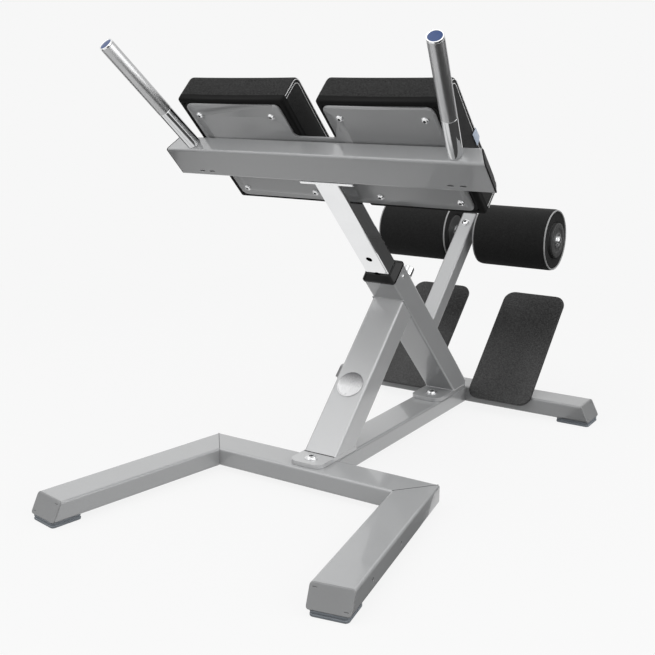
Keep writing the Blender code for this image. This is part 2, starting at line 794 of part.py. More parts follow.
def build_badge(frame):
    # A round plate with a raised rim and a bare field, held by two rivets.
    bm = bmesh.new()
    inner = BADGE_RADIUS - BADGE_RIM
    profile = [
        (0, 0), (BADGE_RADIUS, 0), (BADGE_RADIUS, BADGE_THICKNESS - BADGE_EDGE),
        (BADGE_RADIUS - BADGE_EDGE, BADGE_THICKNESS), (inner, BADGE_THICKNESS),
        (inner - BADGE_EDGE, BADGE_FIELD), (0, BADGE_FIELD),
    ]
    turned(bm, profile, toward((0, -1, 0), (0, -GAP, BADGE_HEIGHT)), BADGE_STEPS)
    badge = add_object("badge", bm, frame, "polished")
    rivets = bmesh.new()
    dome = [(0, BADGE_FIELD / 2), (RIVET_RADIUS, BADGE_FIELD / 2)]
    for angle in (pi / 12, pi / 4):
        dome.append((RIVET_RADIUS * cos(angle), BADGE_FIELD + RIVET_HEIGHT * sin(angle)))
    dome.append((0, BADGE_FIELD + RIVET_HEIGHT))
    for side in (-1, 1):
        height = BADGE_HEIGHT + side * RIVET_SPACING / 2
        turned(rivets, dome, toward((0, -1, 0), (0, -GAP, height)), SCREW_STEPS)
    weld(badge, rivets)


# Locking pin

def lock_sizes():
    # Distances along the pin from the column's centre line, with the pin parked.
    sizes = {}
    sizes["tip"] = INNER_DEPTH / 2 + PIN_PARK
    sizes["housing"] = HALF_DEPTH + GAP
    sizes["shoulder"] = sizes["housing"] + PIN_TRAVEL + GAP
    sizes["shoulder_end"] = sizes["shoulder"] + PIN_SHOULDER
    sizes["wall"] = sizes["shoulder_end"] + SPRING_ROOM
    sizes["housing_end"] = sizes["wall"] + LOCK_END_WALL
    sizes["knob_floor"] = sizes["housing_end"] + PIN_TRAVEL + GAP
    sizes["knob_end"] = sizes["knob_floor"] + KNOB_FACE
    sizes["skirt"] = sizes["knob_end"] - KNOB_SKIRT
    sizes["stem_end"] = sizes["knob_end"] - KNOB_FACE / 3
    return sizes


def build_lock(column):
    at = lock_sizes()
    bm = bmesh.new()
    profile = [
        (LOCK_HOUSING_BORE, at["housing"]), (LOCK_FLANGE_RADIUS, at["housing"]),
        (LOCK_FLANGE_RADIUS, at["housing"] + LOCK_FLANGE), (LOCK_HOUSING_RADIUS, at["housing"] + LOCK_FLANGE),
        (LOCK_HOUSING_RADIUS, at["housing_end"] - EASE), (LOCK_HOUSING_RADIUS - EASE, at["housing_end"]),
        (PIN_STEM_RADIUS + RUNNING_GAP, at["housing_end"]), (PIN_STEM_RADIUS + RUNNING_GAP, at["wall"]),
        (LOCK_HOUSING_BORE, at["wall"]),
    ]
    turned(bm, profile, toward((0, 1, 0), (0, 0, LOCK_HEIGHT)), closed=True)
    add_object("lock_housing", bm, column, "zinc")

    lock = add_frame("lock_frame", column, (0, 0, LOCK_HEIGHT))
    bm = bmesh.new()
    profile = [
        (0, at["tip"]), (PIN_RADIUS - PIN_CHAMFER, at["tip"]), (PIN_RADIUS, at["tip"] + PIN_CHAMFER),
        (PIN_RADIUS, at["shoulder"]), (PIN_SHOULDER_RADIUS, at["shoulder"]),
        (PIN_SHOULDER_RADIUS, at["shoulder_end"]), (PIN_STEM_RADIUS, at["shoulder_end"]),
        (PIN_STEM_RADIUS, at["stem_end"]), (0, at["stem_end"]),
    ]
    turned(bm, profile, toward((0, 1, 0)), PIN_STEPS)
    add_object("lock_pin", bm, lock, "polished")

    bm = bmesh.new()
    middle = KNOB_EDGE * ARC_SHARE
    profile = [
        (0, at["knob_end"]), (KNOB_RADIUS - KNOB_EDGE, at["knob_end"]),
        (KNOB_RADIUS - middle, at["knob_end"] - middle), (KNOB_RADIUS, at["knob_end"] - KNOB_EDGE),
        (KNOB_RADIUS, at["skirt"] + EASE), (KNOB_RADIUS - EASE, at["skirt"]), (KNOB_BORE, at["skirt"]),
        (KNOB_BORE, at["knob_floor"]), (PIN_STEM_RADIUS + GAP, at["knob_floor"]),
        (PIN_STEM_RADIUS + GAP, at["stem_end"] + GAP), (0, at["stem_end"] + GAP),
    ]
    turned(bm, profile, toward((0, 1, 0)))
    add_object("lock_knob", bm, lock, "polished")

    build_spring(column, at["shoulder_end"], at["wall"])


def build_spring(column, start, end):
    # Squeezed between the parked pin's shoulder and the housing's end wall.
    radius = (PIN_STEM_RADIUS + LOCK_HOUSING_BORE) / 2
    low = start + GAP + SPRING_WIRE
    high = end - GAP - SPRING_WIRE
    steps = SPRING_TURNS * SPRING_STEPS
    rings = []
    for step in range(steps + 1):
        angle = 2 * pi * step / SPRING_STEPS
        along = low + (high - low) * step / steps
        ring = []
        for a, b in circle(SPRING_WIRE, WIRE_STEPS):
            reach = radius + a
            ring.append((reach * cos(angle), along + b, LOCK_HEIGHT + reach * sin(angle)))
        rings.append(ring)
    bm = bmesh.new()
    loft(bm, rings)
    add_object("lock_spring", bm, column, "zinc")


# Carriage

def build_inner_tube(carriage):
    outer = centred_box(INNER_WIDTH, INNER_DEPTH, INNER_CORNER)
    bore_width = INNER_WIDTH - 2 * INNER_WALL
    bore_depth = INNER_DEPTH - 2 * INNER_WALL
    inner = centred_box(bore_width, bore_depth, INNER_CORNER - INNER_WALL)
    tube = hollow_bar(
        "inner_tube", outer, inner, lambda a, b, c: (a, b, c),
        lambda a, b: INNER_BOTTOM, lambda a, b: INNER_TOP, carriage, "polished")
    cut(tube, pegs([((0, -INNER_DEPTH, z), (0, INNER_DEPTH, z)) for z in HOLE_HEIGHTS], HOLE_RADIUS))

    # The glide guides the tube's lower end inside the column.
    cavity_width = POST_WIDTH - 2 * POST_WALL - 2 * RUNNING_GAP
    cavity_depth = POST_DEPTH - 2 * POST_WALL - 2 * RUNNING_GAP
    rim = centred_box(cavity_width, cavity_depth, POST_CORNER - POST_WALL)
    eased = centred_box(cavity_width - 2 * EASE, cavity_depth - 2 * EASE, POST_CORNER - POST_WALL)
    plug = centred_box(bore_width - 2 * GAP, bore_depth - 2 * GAP, INNER_CORNER - INNER_WALL)
    top = INNER_BOTTOM - GAP
    low = top - GLIDE_THICKNESS
    plug_top = top + 2 * GLIDE_THICKNESS
    stations = ((eased, low), (rim, low + 2 * EASE), (rim, top), (plug, top), (plug, plug_top))
    bm = bmesh.new()
    loft(bm, [[(a, b, c) for a, b in points] for points, c in stations])
    add_object("inner_tube_glide", bm, carriage, "black_plastic")


def build_flange(carriage):
    low = INNER_TOP + GAP
    bm = bmesh.new()
    outline = centred_box(2 * FLANGE_HALF, BEAM_DEPTH, FLANGE_CORNER)
    sheet(bm, outline, lambda a, b, c: (a, b, c), low, low + FLANGE_THICKNESS)
    add_object("flange_plate", bm, carriage, "plate_paint")


def build_beam(carriage):
    low = (-BEAM_DEPTH / 2, BEAM_BOTTOM)
    high = (BEAM_DEPTH / 2, BEAM_BOTTOM + BEAM_HEIGHT)
    outer = rounded_box(low, high, TUBE_CORNER)
    inner = rounded_box(
        (low[0] + TUBE_WALL, low[1] + TUBE_WALL), (high[0] - TUBE_WALL, high[1] - TUBE_WALL),
        TUBE_CORNER - TUBE_WALL)

    def set_back(a):
        return END_SLANT * (a + BEAM_DEPTH / 2) / BEAM_DEPTH

    def end_at(a, b):
        return BEAM_HALF - CAP_THICKNESS - set_back(a)

    beam = hollow_bar(
        "top_beam", outer, inner, lambda a, b, c: (c, a, b),
        lambda a, b: -end_at(a, b), end_at, carriage, "silver_paint")
    bm = bmesh.new()
    middle = BEAM_BOTTOM + BEAM_SLOT_RISE
    for side in (-1, 1):
        for start in BEAM_SLOT_STARTS:
            ends = sorted((side * start, side * (start + BEAM_SLOT_LENGTH)))
            slot = rounded_box(
                (ends[0], middle - BEAM_SLOT_HEIGHT / 2), (ends[1], middle + BEAM_SLOT_HEIGHT / 2),
                BEAM_SLOT_CORNER)
            sheet(bm, slot, lambda a, b, c: (a, c, b), -BEAM_DEPTH, -BEAM_DEPTH / 4)
    cut(beam, bm)
    for side, label in ((-1, "left"), (1, "right")):
        end_cap(
            f"{label}_beam_cap", outer, inner, lambda a, b, c: (side * c, a, b),
            lambda a, b, depth: BEAM_HALF + GAP - set_back(a) - depth, carriage, "grey_plastic")


def pad_screw_places(side):
    across, heights = (PAD_SCREW_INNER, PAD_SCREW_OUTER), (PAD_SCREW_LOW, PAD_SCREW_HIGH)
    return [(side * x, z) for x in across for z in heights]


def pad_screw_holes(sides):
    deep = PAD_BACK + PAD_SCREW_BITE + GAP
    holes = []
    for side in sides:
        for x, z in pad_screw_places(side):
            holes.append(((x, 0, z), (x, deep, z)))
    return pegs(holes, PAD_SCREW_SHANK + GAP)


def build_pad_plate(carriage):
    corners = [
        (-PLATE_HALF, PLATE_BOTTOM), (PLATE_HALF, PLATE_BOTTOM), (PLATE_HALF, PLATE_TOP),
        (NOTCH_HALF, PLATE_TOP), (NOTCH_HALF, NOTCH_BOTTOM), (-NOTCH_HALF, NOTCH_BOTTOM),
        (-NOTCH_HALF, PLATE_TOP), (-PLATE_HALF, PLATE_TOP),
    ]
    radii = [PLATE_CORNER] * 3 + [NOTCH_FILLET] * 4 + [PLATE_CORNER]
    outline = []
    for index, corner in enumerate(corners):
        after = corners[(index + 1) % len(corners)]
        outline += fillet(corners[index - 1], corner, after, radii[index], PLATE_STEPS)
    bm = bmesh.new()
    sheet(bm, outline, lambda a, b, c: (a, c, b), PLATE_FRONT, PLATE_BACK)
    plate = add_object("pad_plate", bm, carriage, "plate_paint")
    cut(plate, pad_screw_holes((-1, 1)))
    bite = PLATE_THICKNESS + PAD_SCREW_BITE
    for side, label in ((-1, "left"), (1, "right")):
        for number, (x, z) in enumerate(pad_screw_places(side), 1):
            seat = (x, PLATE_FRONT - GAP, z)
            name = f"{label}_pad_screw_{number}"
            add_screw(name, seat, (0, -1, 0), PAD_SCREW_HEAD, PAD_SCREW_SHANK, bite, carriage)


def board_box(inset):
    low = (PAD_INNER + inset, PAD_BOTTOM + inset)
    high = (PAD_OUTER - inset, PAD_TOP - inset)
    return low, high


def mirrored(side, a, b, c):
    return (side * a, c, b)


def build_board(carriage, side, label):
    bm = bmesh.new()
    low, high = board_box(BOARD_INSET)
    outline = rounded_box(low, high, BOARD_CORNER)
    sheet(bm, outline, lambda a, b, c: mirrored(side, a, b, c), PAD_BACK, PAD_BACK + BOARD_THICKNESS)
    board = add_object(f"{label}_pad_board", bm, carriage, "board_black")
    cut(board, pad_screw_holes((side,)))


def pad_outline(inset):
    # The pad seen from its side: a is the distance from the plate, b the height along the column.
    low = (PAD_BACK + inset, PAD_BOTTOM + inset)
    high = (PAD_BACK + PAD_THICKNESS - inset, PAD_TOP - inset)
    full = (PAD_BACK_ROUND, PAD_BOTTOM_ROUND, PAD_TOP_ROUND, PAD_BACK_ROUND)
    radii = tuple(max(radius - inset, PAD_LEAST_ROUND) for radius in full)
    corners = rounded_box(low, high, radii, PAD_CORNER_STEPS)
    per_corner = PAD_CORNER_STEPS + 1
    points = []
    for index, extra in enumerate(PAD_SIDE_POINTS):
        points += corners[index * per_corner:(index + 1) * per_corner]
        start = Vector(points[-1])
        end = Vector(corners[((index + 1) * per_corner) % len(corners)])
        for step in range(extra):
            points.append(tuple(start.lerp(end, (step + 1) / (extra + 1))))
    return points


def build_cushion(carriage, side, label):
    # Rings run round the pad's side outline; they are stacked from its inner to its outer side.
    half = (PAD_OUTER - PAD_INNER) / 2
    centre = (PAD_OUTER + PAD_INNER) / 2
    mid_height = (PAD_TOP + PAD_BOTTOM) / 2
    half_height = (PAD_TOP - PAD_BOTTOM) / 2
    front = PAD_BACK + PAD_THICKNESS

    def swell(across, a, b):
        # The front face crowns, and the top and bottom draw in between the corners.
        share = across / half
        rise = (b - mid_height) / half_height
        depth = (a - PAD_BACK) / PAD_THICKNESS
        crown = PAD_CROWN * (1 - share ** 4) * (1 - abs(rise) ** 4) * max(depth, 0) ** 2
        draw = PAD_DRAW_IN * (1 - share ** 2) * rise * (1 - (2 * depth - 1) ** 2)
        return a + crown, b - draw

    def side_face(inset, recess):
        ring = []
        for a, b in pad_outline(inset):
            rise = (b - mid_height) / half_height
            depth = 2 * (a - PAD_BACK) / (front - PAD_BACK) - 1
            draw = PAD_DRAW_IN * max(1 - rise ** 2, 0) * max(1 - depth ** 2, 0)
            ring.append((half - recess - draw, a, b))
        return ring

    body = []
    for step in range(-PAD_STATIONS, PAD_STATIONS + 1):
        across = sin(pi / 2 * step / PAD_STATIONS) * (half - PAD_SIDE_ROUND)
        body.append([(across, *swell(across, a, b)) for a, b in pad_outline(0)])
    cap = []
    turn = PAD_SIDE_ROUND * ARC_SHARE
    cap.append([(half - turn, a, b) for a, b in pad_outline(turn)])
    cap.append(side_face(PAD_SIDE_ROUND, 0))
    cap.append(side_face(PAD_SIDE_ROUND + SEAM_WIDTH / 2, SEAM_DEPTH))
    cap.append(side_face(PAD_SIDE_ROUND + SEAM_WIDTH, 0))
    cap.append(side_face(PAD_SIDE_ROUND + 3 * SEAM_WIDTH, 0))
    cap.append(side_face(PAD_SIDE_ROUND + 5 * SEAM_WIDTH, 0))
    inner_cap = [[(-x, a, b) for x, a, b in ring] for ring in reversed(cap)]
    rings = inner_cap + body + cap
    bm = bmesh.new()
    loft(bm, [[(side * (centre + x), a, b) for x, a, b in ring] for ring in rings])
    cushion = add_object(f"{label}_thigh_pad", bm, carriage, "pad_cover")

    # The board is let into the back.
    low, high = board_box(BOARD_INSET - GAP)
    pocket = bmesh.new()
    outline = rounded_box(low, high, BOARD_CORNER)
    floor = PAD_BACK + BOARD_THICKNESS + GAP
    sheet(pocket, outline, lambda a, b, c: mirrored(side, a, b, c), PAD_BACK - BOARD_THICKNESS, floor)
    cut(cushion, pocket)


def build_handle(carriage, side, label):
    # Local Z runs up the handle, which leans outwards; its foot is cut to lie on the beam.
    beam_top = BEAM_BOTTOM + BEAM_HEIGHT
    frame = add_frame(
        f"{label}_handle_frame", carriage, (side * HANDLE_X, 0, beam_top + GAP), (0, side * HANDLE_SPLAY, 0))

    def foot(a, b):
        return side * a * tan(HANDLE_SPLAY)

    face = HANDLE_LENGTH
    seat = face - HANDLE_CAP
    hollow_bar(
        f"{label}_handle", circle(HANDLE_RADIUS), circle(HANDLE_RADIUS - HANDLE_WALL),
        lambda a, b, c: (a, b, c), foot, lambda a, b: seat - GAP, frame, "knurled_steel")
    bm = bmesh.new()
    plug = HANDLE_RADIUS - HANDLE_WALL - GAP
    rim = HANDLE_RADIUS - 3 * EASE
    profile = [
        (0, seat - HANDLE_CAP_PLUG), (plug, seat - HANDLE_CAP_PLUG), (plug, seat), (HANDLE_RADIUS, seat),
        (HANDLE_RADIUS, face - EASE), (HANDLE_RADIUS - EASE, face), (rim, face), (rim - EASE, face - EASE),
        (0, face - EASE),
    ]
    turned(bm, profile, Matrix.Identity(4))
    add_object(f"{label}_handle_cap", bm, frame, "blue_plastic")


# Roller arm and rollers

def build_arm(arm):
    outer = centred_box(ARM_SIZE, ARM_SIZE, ARM_CORNER)
    inner = centred_box(ARM_SIZE - 2 * ARM_WALL, ARM_SIZE - 2 * ARM_WALL, ARM_CORNER - ARM_WALL)

    # The foot lies on the column's rear face.
    def foot(a, b):
        return b * tan(ARM_TILT) + GAP

    def place(a, b, c):
        return (a, c, b)

    tube = hollow_bar("roller_arm", outer, inner, place, foot, lambda a, b: ARM_LENGTH, arm, "silver_paint")
    saddle = (-ARM_SIZE, AXLE_REACH, -AXLE_DROP), (ARM_SIZE, AXLE_REACH, -AXLE_DROP)
    cut(tube, pegs([saddle], AXLE_RADIUS + GAP, ROUND_STEPS))
    cut(tube, pegs([((0, AXLE_REACH, 0), (0, AXLE_REACH, ARM_SIZE))], AXLE_BOLT_SHANK + GAP))

    cavity = ARM_SIZE - 2 * ARM_WALL - 2 * GAP
    plug = centred_box(cavity, cavity, ARM_CORNER - ARM_WALL)
    rim = centred_box(ARM_SIZE, ARM_SIZE, ARM_CORNER)
    eased = centred_box(ARM_SIZE - 2 * EASE, ARM_SIZE - 2 * EASE, ARM_CORNER - EASE)
    seat = ARM_LENGTH + GAP
    top = seat + ARM_PLUG
    stations = ((plug, seat - 3 * ARM_PLUG), (plug, seat), (rim, seat), (rim, top - EASE), (eased, top))
    bm = bmesh.new()
    loft(bm, [[place(a, b, c) for a, b in points] for points, c in stations])
    add_object("arm_end_plug", bm, arm, "black_plastic")


def build_axle(arm, axle):
    # A round bar with a nut between two washers on each side of the arm, which space the rollers.
    start = ARM_SIZE / 2 + GAP
    end = ROLLER_INNER - GAP
    half = [
        (0, AXLE_HALF), (AXLE_RADIUS - EASE, AXLE_HALF), (AXLE_RADIUS, AXLE_HALF - EASE),
        (AXLE_RADIUS, end), (SPACER_RADIUS, end), (SPACER_RADIUS, end - SPACER_WASHER),
        (AXLE_RADIUS, end - SPACER_WASHER), (AXLE_RADIUS, start + SPACER_WASHER),
        (SPACER_RADIUS, start + SPACER_WASHER), (SPACER_RADIUS, start), (AXLE_RADIUS, start),
    ]
    bm = bmesh.new()
    turned(bm, [(radius, -x) for radius, x in half] + half[::-1], toward((1, 0, 0)))
    bar = add_object("roller_axle", bm, axle, "zinc")
    nuts = bmesh.new()
    bite = SPACER_WASHER - WELD_DEPTH
    for side in (-1, 1):
        sheet(nuts, hexagon(NUT_APOTHEM), lambda a, b, c: (side * c, a, b), start + bite, end - bite)
    weld(bar, nuts)
    bolt_depth = AXLE_RADIUS - AXLE_BOLT_BITE - GAP
    cut(bar, pegs([((0, 0, bolt_depth), (0, 0, 2 * AXLE_RADIUS))], AXLE_BOLT_SHANK + GAP))
    tapped = AXLE_HALF - END_BOLT_BITE - GAP
    ends = [((side * tapped, 0, 0), (side * (AXLE_HALF + AXLE_RADIUS), 0, 0)) for side in (-1, 1)]
    cut(bar, pegs(ends, END_BOLT_SHANK + GAP))

    # The bolt draws the axle up into its saddle.
    head = ARM_SIZE / 2 + GAP
    bite = head + AXLE_DROP - AXLE_RADIUS + AXLE_BOLT_BITE
    add_screw("axle_bolt", (0, AXLE_REACH, head), (0, 0, 1), AXLE_BOLT_HEAD, AXLE_BOLT_SHANK, bite, arm)
    for side, label in ((-1, "left"), (1, "right")):
        add_screw(
            f"{label}_axle_end_bolt", (side * (AXLE_HALF + GAP), 0, 0), (side, 0, 0), END_BOLT_HEAD,
            END_BOLT_SHANK, END_BOLT_BITE, axle, END_WASHER_RADIUS, END_WASHER)


def build_roller(axle, side, label):
    # Each piece turns about the axle; distances run outwards along it.
    roller = add_frame(f"{label}_roller_frame", axle)
    matrix = toward((side, 0, 0))
    low, high = ROLLER_INNER, ROLLER_OUTER

    # The core carries a fixed disc at its inner end, and the outer disc is fitted after the pad.
    core = [
        (CORE_BORE, low), (HUB_RADIUS - HUB_STEP / 2, low), (HUB_RADIUS, low + HUB_STEP / 2),
        (HUB_RADIUS, low + HUB_THICKNESS), (CORE_RADIUS, low + HUB_THICKNESS), (CORE_RADIUS, high),
        (CORE_BORE, high),
    ]
    bm = bmesh.new()
    turned(bm, core, matrix, closed=True)
    add_object(f"{label}_roller_core", bm, roller, "grey_plastic")

    bore = CORE_RADIUS + GAP
    dish = high - HUB_STEP
    hub = [
        (bore, high - HUB_THICKNESS), (HUB_RADIUS, high - HUB_THICKNESS), (HUB_RADIUS, high - HUB_STEP / 2),
        (HUB_RADIUS - HUB_STEP / 2, high), (HUB_RADIUS * HUB_DISH_OUT, high),
        (HUB_RADIUS * HUB_DISH_IN, dish), (bore, dish),
    ]
    bm = bmesh.new()
    turned(bm, hub, matrix, closed=True)
    add_object(f"{label}_roller_hub", bm, roller, "grey_plastic")

    bm = bmesh.new()
    turned(bm, roller_profile(low, high), matrix, ROLLER_STEPS, closed=True)
    add_object(f"{label}_roller_pad", bm, roller, "roller_cover")


def roller_profile(low, high):
    # Up one end face with its piping, along the crowned cover and down the other end face.
    recess = HUB_THICKNESS + GAP
    half = (high - low) / 2
    middle = (high + low) / 2

    def end_face(end, inward):
        drawn = end + inward * PIPING_RADIUS
        points = [(CORE_RADIUS + GAP, end + inward * recess), (HUB_RADIUS + GAP, end + inward * recess)]
        points.append((HUB_RADIUS + GAP, drawn))
        points.append(((HUB_RADIUS + PIPING_CENTRE) / 2, drawn + inward * PIPING_RADIUS / 2))
        points += [
            (PIPING_CENTRE - PIPING_RADIUS * cos(angle), drawn - inward * PIPING_RADIUS * sin(angle))
            for angle in (0, pi / 2, pi)
        ]
        for angle in (pi / 8, pi / 3):
            radius = ROLLER_RADIUS - ROLLER_CROWN - ROLLER_EDGE * (1 - sin(angle))
            along = drawn + inward * ROLLER_EDGE * (1 - cos(angle))
            points.append((max(radius, PIPING_CENTRE + PIPING_RADIUS), along))
        return points

    start = low + PIPING_RADIUS + ROLLER_EDGE
    cover = []
    for step in range(ROLLER_STATIONS + 1):
        along = start + (high - PIPING_RADIUS - ROLLER_EDGE - start) * step / ROLLER_STATIONS
        share = (along - middle) / half
        cover.append((ROLLER_RADIUS - ROLLER_CROWN * share ** 2, along))
    return end_face(low, 1) + cover + list(reversed(end_face(high, -1)))


# Foot plates

def build_foot_plates(bench):
    frame = add_frame(
        "foot_plate_frame", bench, (0, FOOT_PLATE_Y, FOOT_PLATE_Z), (FOOT_PLATE_RISE - pi / 2, 0, 0))
    for side, label in ((-1, "left"), (1, "right")):
        ends = sorted((side * FOOT_PLATE_INNER, side * FOOT_PLATE_OUTER))
        outline = rounded_box((ends[0], 0), (ends[1], FOOT_PLATE_LENGTH), FOOT_PLATE_CORNER, PLATE_STEPS)
        bm = bmesh.new()
        sheet(bm, outline, lambda a, b, c: (a, c, b), 0, FOOT_PLATE_THICKNESS)
        plate = add_object(f"{label}_foot_plate", bm, frame, "grip_coat")
        weld(plate, gussets(side, frame.matrix_basis.inverted()))


def gussets(side, to_local):
    # Upright webs on the rear cross tube's top face, welded into the back of the foot plate.
    behind = FOOT_PLATE_THICKNESS - WELD_DEPTH

    def plate_back(along):
        y = FOOT_PLATE_Y + along * cos(FOOT_PLATE_RISE) + behind * sin(FOOT_PLATE_RISE)
        z = FOOT_PLATE_Z + along * sin(FOOT_PLATE_RISE) - behind * cos(FOOT_PLATE_RISE)
        return Vector((y, z))

    front_y = SPINE_LENGTH + GUSSET_EDGE
    nose = plate_back((front_y - plate_back(0).x) / cos(FOOT_PLATE_RISE))
    tip = plate_back(GUSSET_REACH)
    level = TUBE_TOP + GAP
    heel = Vector((SPINE_LENGTH + TUBE_WIDTH - GUSSET_EDGE, level))
    bend = Vector((heel.x, (heel.y + tip.y) / 2))
    outline = [Vector((front_y, level)), nose, tip]
    for step in range(1, BEND_STEPS):
        share = step / BEND_STEPS
        outline.append(tip.lerp(bend, share).lerp(bend.lerp(heel, share), share))
    outline.append(heel)
    bm = bmesh.new()
    for x in (FOOT_PLATE_INNER + GUSSET_INSET, FOOT_PLATE_OUTER - GUSSET_INSET):
        low = side * x - GUSSET_THICKNESS / 2
        sheet(bm, outline, lambda a, b, c: to_local @ Vector((c, a, b)), low, low + GUSSET_THICKNESS)
    return bm


# Whole bench

def centre_on_floor(bench):
    # The origin goes under the middle of the bench's length.
    bpy.context.view_layer.update()
    lows, highs = [], []
    for obj in bpy.data.objects:
        if obj.type == "MESH" and not obj.hide_render:
            places = [(obj.matrix_world @ vertex.co).y for vertex in obj.data.vertices]
            lows.append(min(places))
            highs.append(max(places))
    bench.location.y = -(min(lows) + max(highs)) / 2


def main():
    clear_scene()
    bench = add_frame("bench")
    build_crossbar(bench)
    for side, label in ((-1, "left"), (1, "right")):
        build_leg(bench, side, label)
    build_spine(bench)
    build_rear_tube(bench)
    build_base_bolts(bench)

    column = add_column_frame(bench)
    build_column(column)
    build_collar(column)
    build_strut(bench)
    build_lock(column)

    carriage = add_frame("carriage_frame", column)
    build_inner_tube(carriage)
    build_flange(carriage)
    build_beam(carriage)
    build_pad_plate(carriage)
    for side, label in ((-1, "left"), (1, "right")):
        build_board(carriage, side, label)
        build_cushion(carriage, side, label)
        build_handle(carriage, side, label)

    arm = add_frame("arm_frame", column, (0, HALF_DEPTH, ARM_HEIGHT), (ARM_TILT, 0, 0))
    axle = add_frame("axle_frame", arm, (0, AXLE_REACH, -AXLE_DROP))
    build_arm(arm)
    build_axle(arm, axle)
    for side, label in ((-1, "left"), (1, "right")):
        build_roller(axle, side, label)
    build_foot_plates(bench)
    centre_on_floor(bench)


main()
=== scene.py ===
from math import atan2, cos, pi, radians, sin, tan, tanh

import bmesh
import bpy
from mathutils import Euler, Matrix, Vector


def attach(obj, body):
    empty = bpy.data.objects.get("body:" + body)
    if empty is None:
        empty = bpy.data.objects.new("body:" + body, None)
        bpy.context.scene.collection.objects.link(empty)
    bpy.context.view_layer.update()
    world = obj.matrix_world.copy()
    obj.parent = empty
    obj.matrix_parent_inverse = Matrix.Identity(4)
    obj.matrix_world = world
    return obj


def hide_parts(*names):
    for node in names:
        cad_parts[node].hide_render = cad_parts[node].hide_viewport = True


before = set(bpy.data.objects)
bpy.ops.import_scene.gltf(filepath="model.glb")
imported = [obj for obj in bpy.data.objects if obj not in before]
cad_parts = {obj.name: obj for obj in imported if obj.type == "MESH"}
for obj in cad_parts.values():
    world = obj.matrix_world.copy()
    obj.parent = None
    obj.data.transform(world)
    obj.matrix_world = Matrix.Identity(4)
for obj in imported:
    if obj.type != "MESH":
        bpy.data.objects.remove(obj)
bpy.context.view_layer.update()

sides = ((-1, "left"), (1, "right"))


# Places on the bench. Local Z climbs along each post, local Y points through it to the rear.
places = {
    "columnFoot": (0, 0.39942, 0.08218),
    "columnLean": 44.1,
    "strutFoot": (0, -0.18813, 0.0613),
    "strutLean": -45.0,
    "armHeight": 0.186,
    "armTilt": 1.1,
    "halfDepth": 0.030,
    "axle": (0, 0.3196, -0.0226),
    "footPlateFoot": (0, 0.42587, 0.037),
    "footPlateLean": -45.5,
    "handleX": 0.3085,
    "beamTop": 0.8703,
    "handleSplay": 10.6,
    "legCornerX": 0.2825,
    "legCornerY": -0.17913,
    "legSplay": 10.4,
}


def placed(origin, turn=(0, 0, 0)):
    angles = [radians(angle) for angle in turn]
    return Matrix.Translation(origin) @ Euler(angles).to_matrix().to_4x4()


columnPlace = placed(places["columnFoot"], (places["columnLean"], 0, 0))
strutPlace = placed(places["strutFoot"], (places["strutLean"], 0, 0))
armPlace = columnPlace @ placed((0, places["halfDepth"], places["armHeight"]), (places["armTilt"], 0, 0))
axlePlace = armPlace @ placed(places["axle"])
footPlatePlace = placed(places["footPlateFoot"], (places["footPlateLean"], 0, 0))


def handlePlace(side):
    foot = (side * places["handleX"], 0, places["beamTop"])
    return columnPlace @ placed(foot, (0, side * places["handleSplay"], 0))


def legPlace(side):
    return placed((side * places["legCornerX"], places["legCornerY"], 0), (0, 0, side * places["legSplay"]))


def alongX(side, place):
    # Local Z turned outwards along the axle.
    return place @ Vector((side, 0, 0)).to_track_quat("Z", "Y").to_matrix().to_4x4()


def localBox(node, place):
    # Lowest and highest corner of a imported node, in a place's own axes.
    toLocal = place.inverted()
    points = [toLocal @ vertex.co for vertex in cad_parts[node].data.vertices]
    low = Vector([min(point[axis] for point in points) for axis in range(3)])
    high = Vector([max(point[axis] for point in points) for axis in range(3)])
    return low, high


# Objects and nodes

def addObject(name, data):
    made = bpy.data.objects.new(name, data)
    bpy.context.scene.collection.objects.link(made)
    return made


def pointMesh(name, points, edges=(), faces=()):
    mesh = bpy.data.meshes.new(name)
    mesh.from_pydata(points, edges, faces)
    return mesh


def grey(level):
    return (level, level, level, 1)


def evenly(scale):
    return (scale, scale, scale)


def feed(tree, node, inputs):
    # Each input takes a value, another node's output, or a list of outputs.
    for label, value in inputs.items():
        for part in value if isinstance(value, list) else [value]:
            if hasattr(part, "links"):
                tree.links.new(part, node.inputs[label])
            else:
                node.inputs[label].default_value = part


def addNode(tree, kind, inputs=None, **settings):
    node = tree.nodes.new(kind)
    for label, value in settings.items():
        setattr(node, label, value)
    feed(tree, node, inputs or {})
    return node


def mathNode(tree, operation, *values):
    return addNode(tree, "ShaderNodeMath", dict(enumerate(values)), operation=operation).outputs[0]


def times(tree, first, second):
    return mathNode(tree, "MULTIPLY", first, second)


def vectorNode(tree, operation, *values):
    node = addNode(tree, "ShaderNodeVectorMath", dict(enumerate(values)), operation=operation)
    return node.outputs["Value" if operation in ("DOT_PRODUCT", "LENGTH") else "Vector"]


def rangeNode(tree, value, low, high, toLow=0.0, toHigh=1.0):
    return addNode(tree, "ShaderNodeMapRange", {
        "Value": value, "From Min": low, "From Max": high, "To Min": toLow, "To Max": toHigh}).outputs["Result"]


def mixShaders(tree, factor, first, second):
    return addNode(tree, "ShaderNodeMixShader", {0: factor, 1: first, 2: second}).outputs[0]


def mixColours(tree, factor, first, second):
    return addNode(tree, "ShaderNodeMix", {0: factor, 6: first, 7: second}, data_type="RGBA").outputs[2]


def objectPoint(tree):
    return addNode(tree, "ShaderNodeTexCoord").outputs["Object"]


def newMaterial(name, values):
    material = bpy.data.materials.new(name)
    material.use_nodes = True
    tree = material.node_tree
    shader = tree.nodes["Principled BSDF"]
    feed(tree, shader, values)
    return material, tree, shader


# Camera, floor and light

